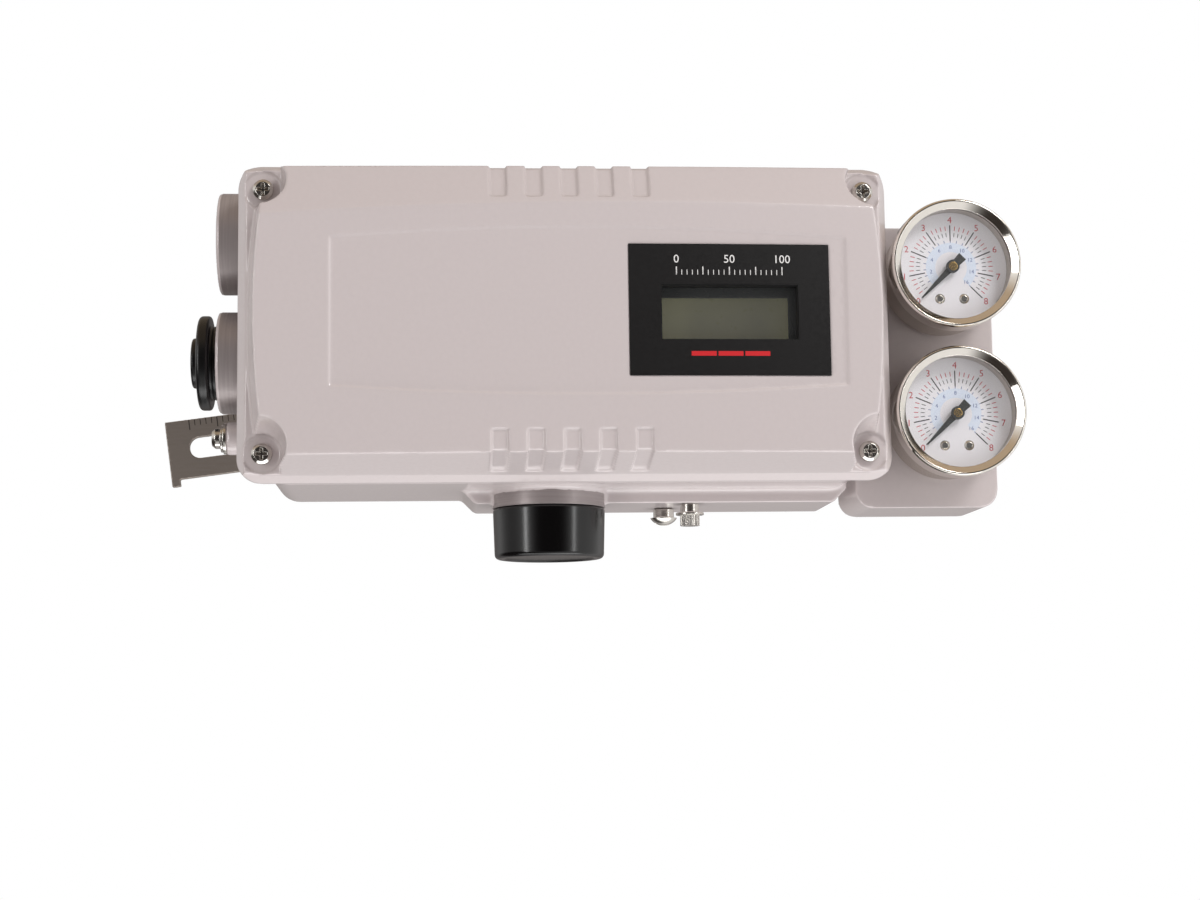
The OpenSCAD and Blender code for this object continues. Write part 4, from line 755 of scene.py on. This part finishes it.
# Chrome plate on brass: mirror bright, a little warm.
chrome = made_of("chrome_plate", "#eee9e2", "#e7e2da", roughness=0.08, grain=2.5, relief=0.0005,
                 metallic=1.0)
# Stove enamel on aluminium: white and nearly matt.
white_enamel = made_of("white_stove_enamel", "#f1eff3", "#ebe9ed", roughness=0.50, grain=0.8,
                       relief=0.002)
# Matt black lacquer on a stamped pointer: even and without a shine.
black_lacquer = made_of("matt_black_lacquer", "#0a0909", "#060505", roughness=0.5, grain=0.6,
                        relief=0.003)
# Dial inks: black, red, dark blue and a pale blue band, all matt with a fine print grain.
black_ink = made_of("black_dial_ink", "#2a272a", "#201e20", roughness=0.6, grain=0.2, relief=0.002)
dial_red = made_of("red_dial_ink", "#c8434e", "#ba3541", roughness=0.6, grain=0.2, relief=0.002)
dial_blue = made_of("blue_dial_ink", "#e6edf9", "#d6e1f3", roughness=0.6, grain=0.9, relief=0.002)
dark_blue = made_of("dark_blue_dial_ink", "#5b70a8", "#4d629a", roughness=0.6, grain=0.2, relief=0.002)
dial_start, dial_sweep = -135, 270    # degrees clockwise from straight up

# Bars round an arc, each pointing to the middle: the scales of a dial.
arc_of_bars = bpy.data.node_groups.new("arc_of_bars", "GeometryNodeTree")
given = sockets_of(arc_of_bars, (("Count", "Int"), ("First", "Float"), ("Step", "Float"),
                                 ("Radius", "Float"), ("Bar", "Vector"), ("Finish", "Material")))
radius = given.outputs["Radius"]
number = put(arc_of_bars, "GeometryNodeInputIndex")
swing = put(arc_of_bars, "ShaderNodeMath", {0: number.outputs[0], 1: given.outputs["Step"]},
            operation="MULTIPLY")
angle = put(arc_of_bars, "ShaderNodeMath", {0: swing.outputs[0], 1: given.outputs["First"]},
            operation="ADD")
sine = put(arc_of_bars, "ShaderNodeMath", {0: angle.outputs[0]}, operation="SINE")
cosine = put(arc_of_bars, "ShaderNodeMath", {0: angle.outputs[0]}, operation="COSINE")
x = put(arc_of_bars, "ShaderNodeMath", {0: sine.outputs[0], 1: radius}, operation="MULTIPLY")
z = put(arc_of_bars, "ShaderNodeMath", {0: cosine.outputs[0], 1: radius}, operation="MULTIPLY")
spot = put(arc_of_bars, "ShaderNodeCombineXYZ", {"X": x.outputs[0], "Z": z.outputs[0]})
points = put(arc_of_bars, "GeometryNodePoints", {"Count": given.outputs["Count"],
                                                 "Position": spot.outputs[0]})
facing = put(arc_of_bars, "ShaderNodeCombineXYZ", {"Y": angle.outputs[0]})
bar = put(arc_of_bars, "GeometryNodeMeshCube", {"Size": given.outputs["Bar"]})
laid = put(arc_of_bars, "GeometryNodeInstanceOnPoints", {"Points": points.outputs[0],
                                                         "Instance": bar.outputs["Mesh"],
                                                         "Rotation": facing.outputs[0]})
solid_bars = put(arc_of_bars, "GeometryNodeRealizeInstances", {"Geometry": laid.outputs[0]})
dressed = put(arc_of_bars, "GeometryNodeSetMaterial", {"Geometry": solid_bars.outputs[0],
                                                       "Material": given.outputs["Finish"]})
put(arc_of_bars, "NodeGroupOutput", {0: dressed.outputs[0]})


def scale_ring(name, count, radius, bar, at, finish, slot):
    """Printed marks over the sweep of a dial; bar is width, thickness and length in mm."""
    return grown(arc_of_bars, name, at, slot, "housing", Count=count, First=math.radians(dial_start),
                 Step=math.radians(dial_sweep) / (count - 1), Radius=radius / mm,
                 Bar=[b / mm for b in bar], Finish=finish)


def blue_band(name, inner, outer, at):
    """The tinted arc behind the inner figures of a dial, as a thin closed strip; sizes in mm."""
    steps, over, under = 72, -0.015, 0.01
    section = ((inner, over), (outer, over), (outer, under), (inner, under))
    strip = bmesh.new()
    rows = []
    for k in range(steps + 1):
        a = math.radians(dial_start + dial_sweep * k / steps)
        rows.append([strip.verts.new((Vector((r * math.sin(a), y, r * math.cos(a))) + Vector(at)) / mm)
                     for r, y in section])
    for one, two in zip(rows, rows[1:]):
        for k in range(4):
            strip.faces.new((one[k], one[(k + 1) % 4], two[(k + 1) % 4], two[k]))
    strip.faces.new(rows[0])
    strip.faces.new(rows[-1][::-1])
    bmesh.ops.recalc_face_normals(strip, faces=strip.faces)
    piece = piece_of(strip, name)
    strip.free()
    mount(piece, dial_blue, "housing")


for gauge in ("upper", "lower"):
    low, high = corners(gauge + "_gauge_bezel")
    hub = ((low.x + high.x) / 2, low.y, (low.z + high.z) / 2)
    r, deep = (high.x - low.x) / 2, high.y - low.y
    bezel = turned(gauge + "_bezel_ring", [(r, deep, 0.5), (r, 0.9, 0.8), (r - 0.55, 0, 0.5),
                                           (r - 1.0, 0, 0.3), (r - 3.2, 1.7, 0.3), (r - 3.2, 2.35, 0.1),
                                           (r - 1.5, 2.38, 0.05), (r - 1.5, deep, 0.2)], hub, "Y", 128)
    fit(bezel, chrome, "chrome", gauge + "_gauge_bezel")
    coat(pressed_steel, gauge + "_gauge_case")
    coat(clear_glass, gauge + "_gauge_lens")
    coat(white_enamel, gauge + "_gauge_dial")
    coat(black_lacquer, gauge + "_gauge_pointer")
    coat(milled_brass, gauge + "_gauge_stem")
    face = corners(gauge + "_gauge_dial")[0].y
    on_dial = (hub[0], face - 0.02, hub[2])
    blue_band(gauge + "_blue_band", 5.4, 8.6, (hub[0], face, hub[2]))
    for name, count, radius, bar, ink in (("_red_ticks", 41, 13.5, (0.24, 0.03, 1.5), dial_red),
                                          ("_black_ticks", 41, 11.3, (0.22, 0.03, 1.4), black_ink),
                                          ("_long_ticks", 9, 11.9, (0.36, 0.04, 5.4), black_ink),
                                          ("_blue_ticks", 21, 9.0, (0.22, 0.03, 0.9), dark_blue)):
        scale_ring(gauge + name, count, radius, bar, on_dial, ink, "pointer_black")
    last_figure = 8
    for name, radius, height, ink, step in (("_outer_figures", 16.3, 2.2, dial_red, 1),
                                            ("_inner_figures", 7.0, 1.3, dark_blue, 2)):
        words = []
        for k in range(last_figure + 1):
            a = math.radians(dial_start + dial_sweep / last_figure * k)
            words.append((str(k * step), hub[0] + radius * math.sin(a), hub[2] + radius * math.cos(a)))
        figures = numerals(gauge + name, words, height, ink, "housing")
        figures.data.transform(Matrix.Translation((0, (face - 0.03) / mm, 0)))
    dial_screw_x, dial_screw_z = 4.1, 10.6
    for k, s in enumerate((-1, 1)):
        dial_screw = turned(gauge + "_dial_screw_%d" % (k + 1),
                            [(0, -0.5, 0), (1.0, -0.5, 0.3), (1.7, -0.1, 0.2), (1.7, 0.05, 0),
                             (0, 0.05, 0)],
                            (hub[0] + dial_screw_x * s, face, hub[2] - dial_screw_z), "Y", 32)
        mount(dial_screw, stainless, "housing")
    pointer_front = corners(gauge + "_gauge_pointer")[0].y
    boss = turned(gauge + "_pointer_boss",
                  [(0, -0.25, 0), (1.5, -0.25, 0.2), (1.5, 0.9, 0.1), (0, 0.9, 0)],
                  (hub[0], pointer_front, hub[2]), "Y", 48)
    mount(boss, milled_brass, gauge + "_pointer")

# ---- Feedback lever ---------------------------------------------------------------------------
# A slotted steel plate on the end of the shaft, held by a washer and nut. It is stamped from
# hot-rolled strip, with graduations along its upper edge, and a pin on the valve runs in its slot.

# Hot-rolled steel, oiled: brownish grey with the mill's streaks along it.
rolled_steel = made_of("oiled_rolled_steel", "#a49a92", "#8a8179", roughness=0.40, grain=1.2,
                       relief=0.004, metallic=0.6, along=(0.15, 1, 1))
# Stamped marks filled with scale: nearly black.
stamped_mark = made_of("stamped_mark", "#35302c", "#2a2622", roughness=0.6, grain=0.3, relief=0.003)
lever = softened("feedback_lever", "slotted_lever", voxel=0.3, rounds=2, most=80000)
fit(lever, rolled_steel, "lever_steel", "feedback_lever")
coat(stainless, "lever_washer", "lever_nut")
lever_front, lever_droop, first_mark = corners("feedback_lever")[0].y, -7.4, -84.0
lie = (Matrix.Translation((0, (lever_front - 0.005) / mm, 0))
       @ Matrix.Rotation(math.radians(lever_droop), 4, "Y"))
for name, count, pitch, bar, lift in (("lever_marks", 27, 2.0, (0.28, 0.03, 2.2), 9.2),
                                      ("lever_long_marks", 6, 10.0, (0.36, 0.04, 3.6), 8.5)):
    marks = bar_row(name, count, pitch, bar, (first_mark, 0, lift), stamped_mark, "lever_steel",
                    "feedback_shaft")
    marks.data.transform(lie)
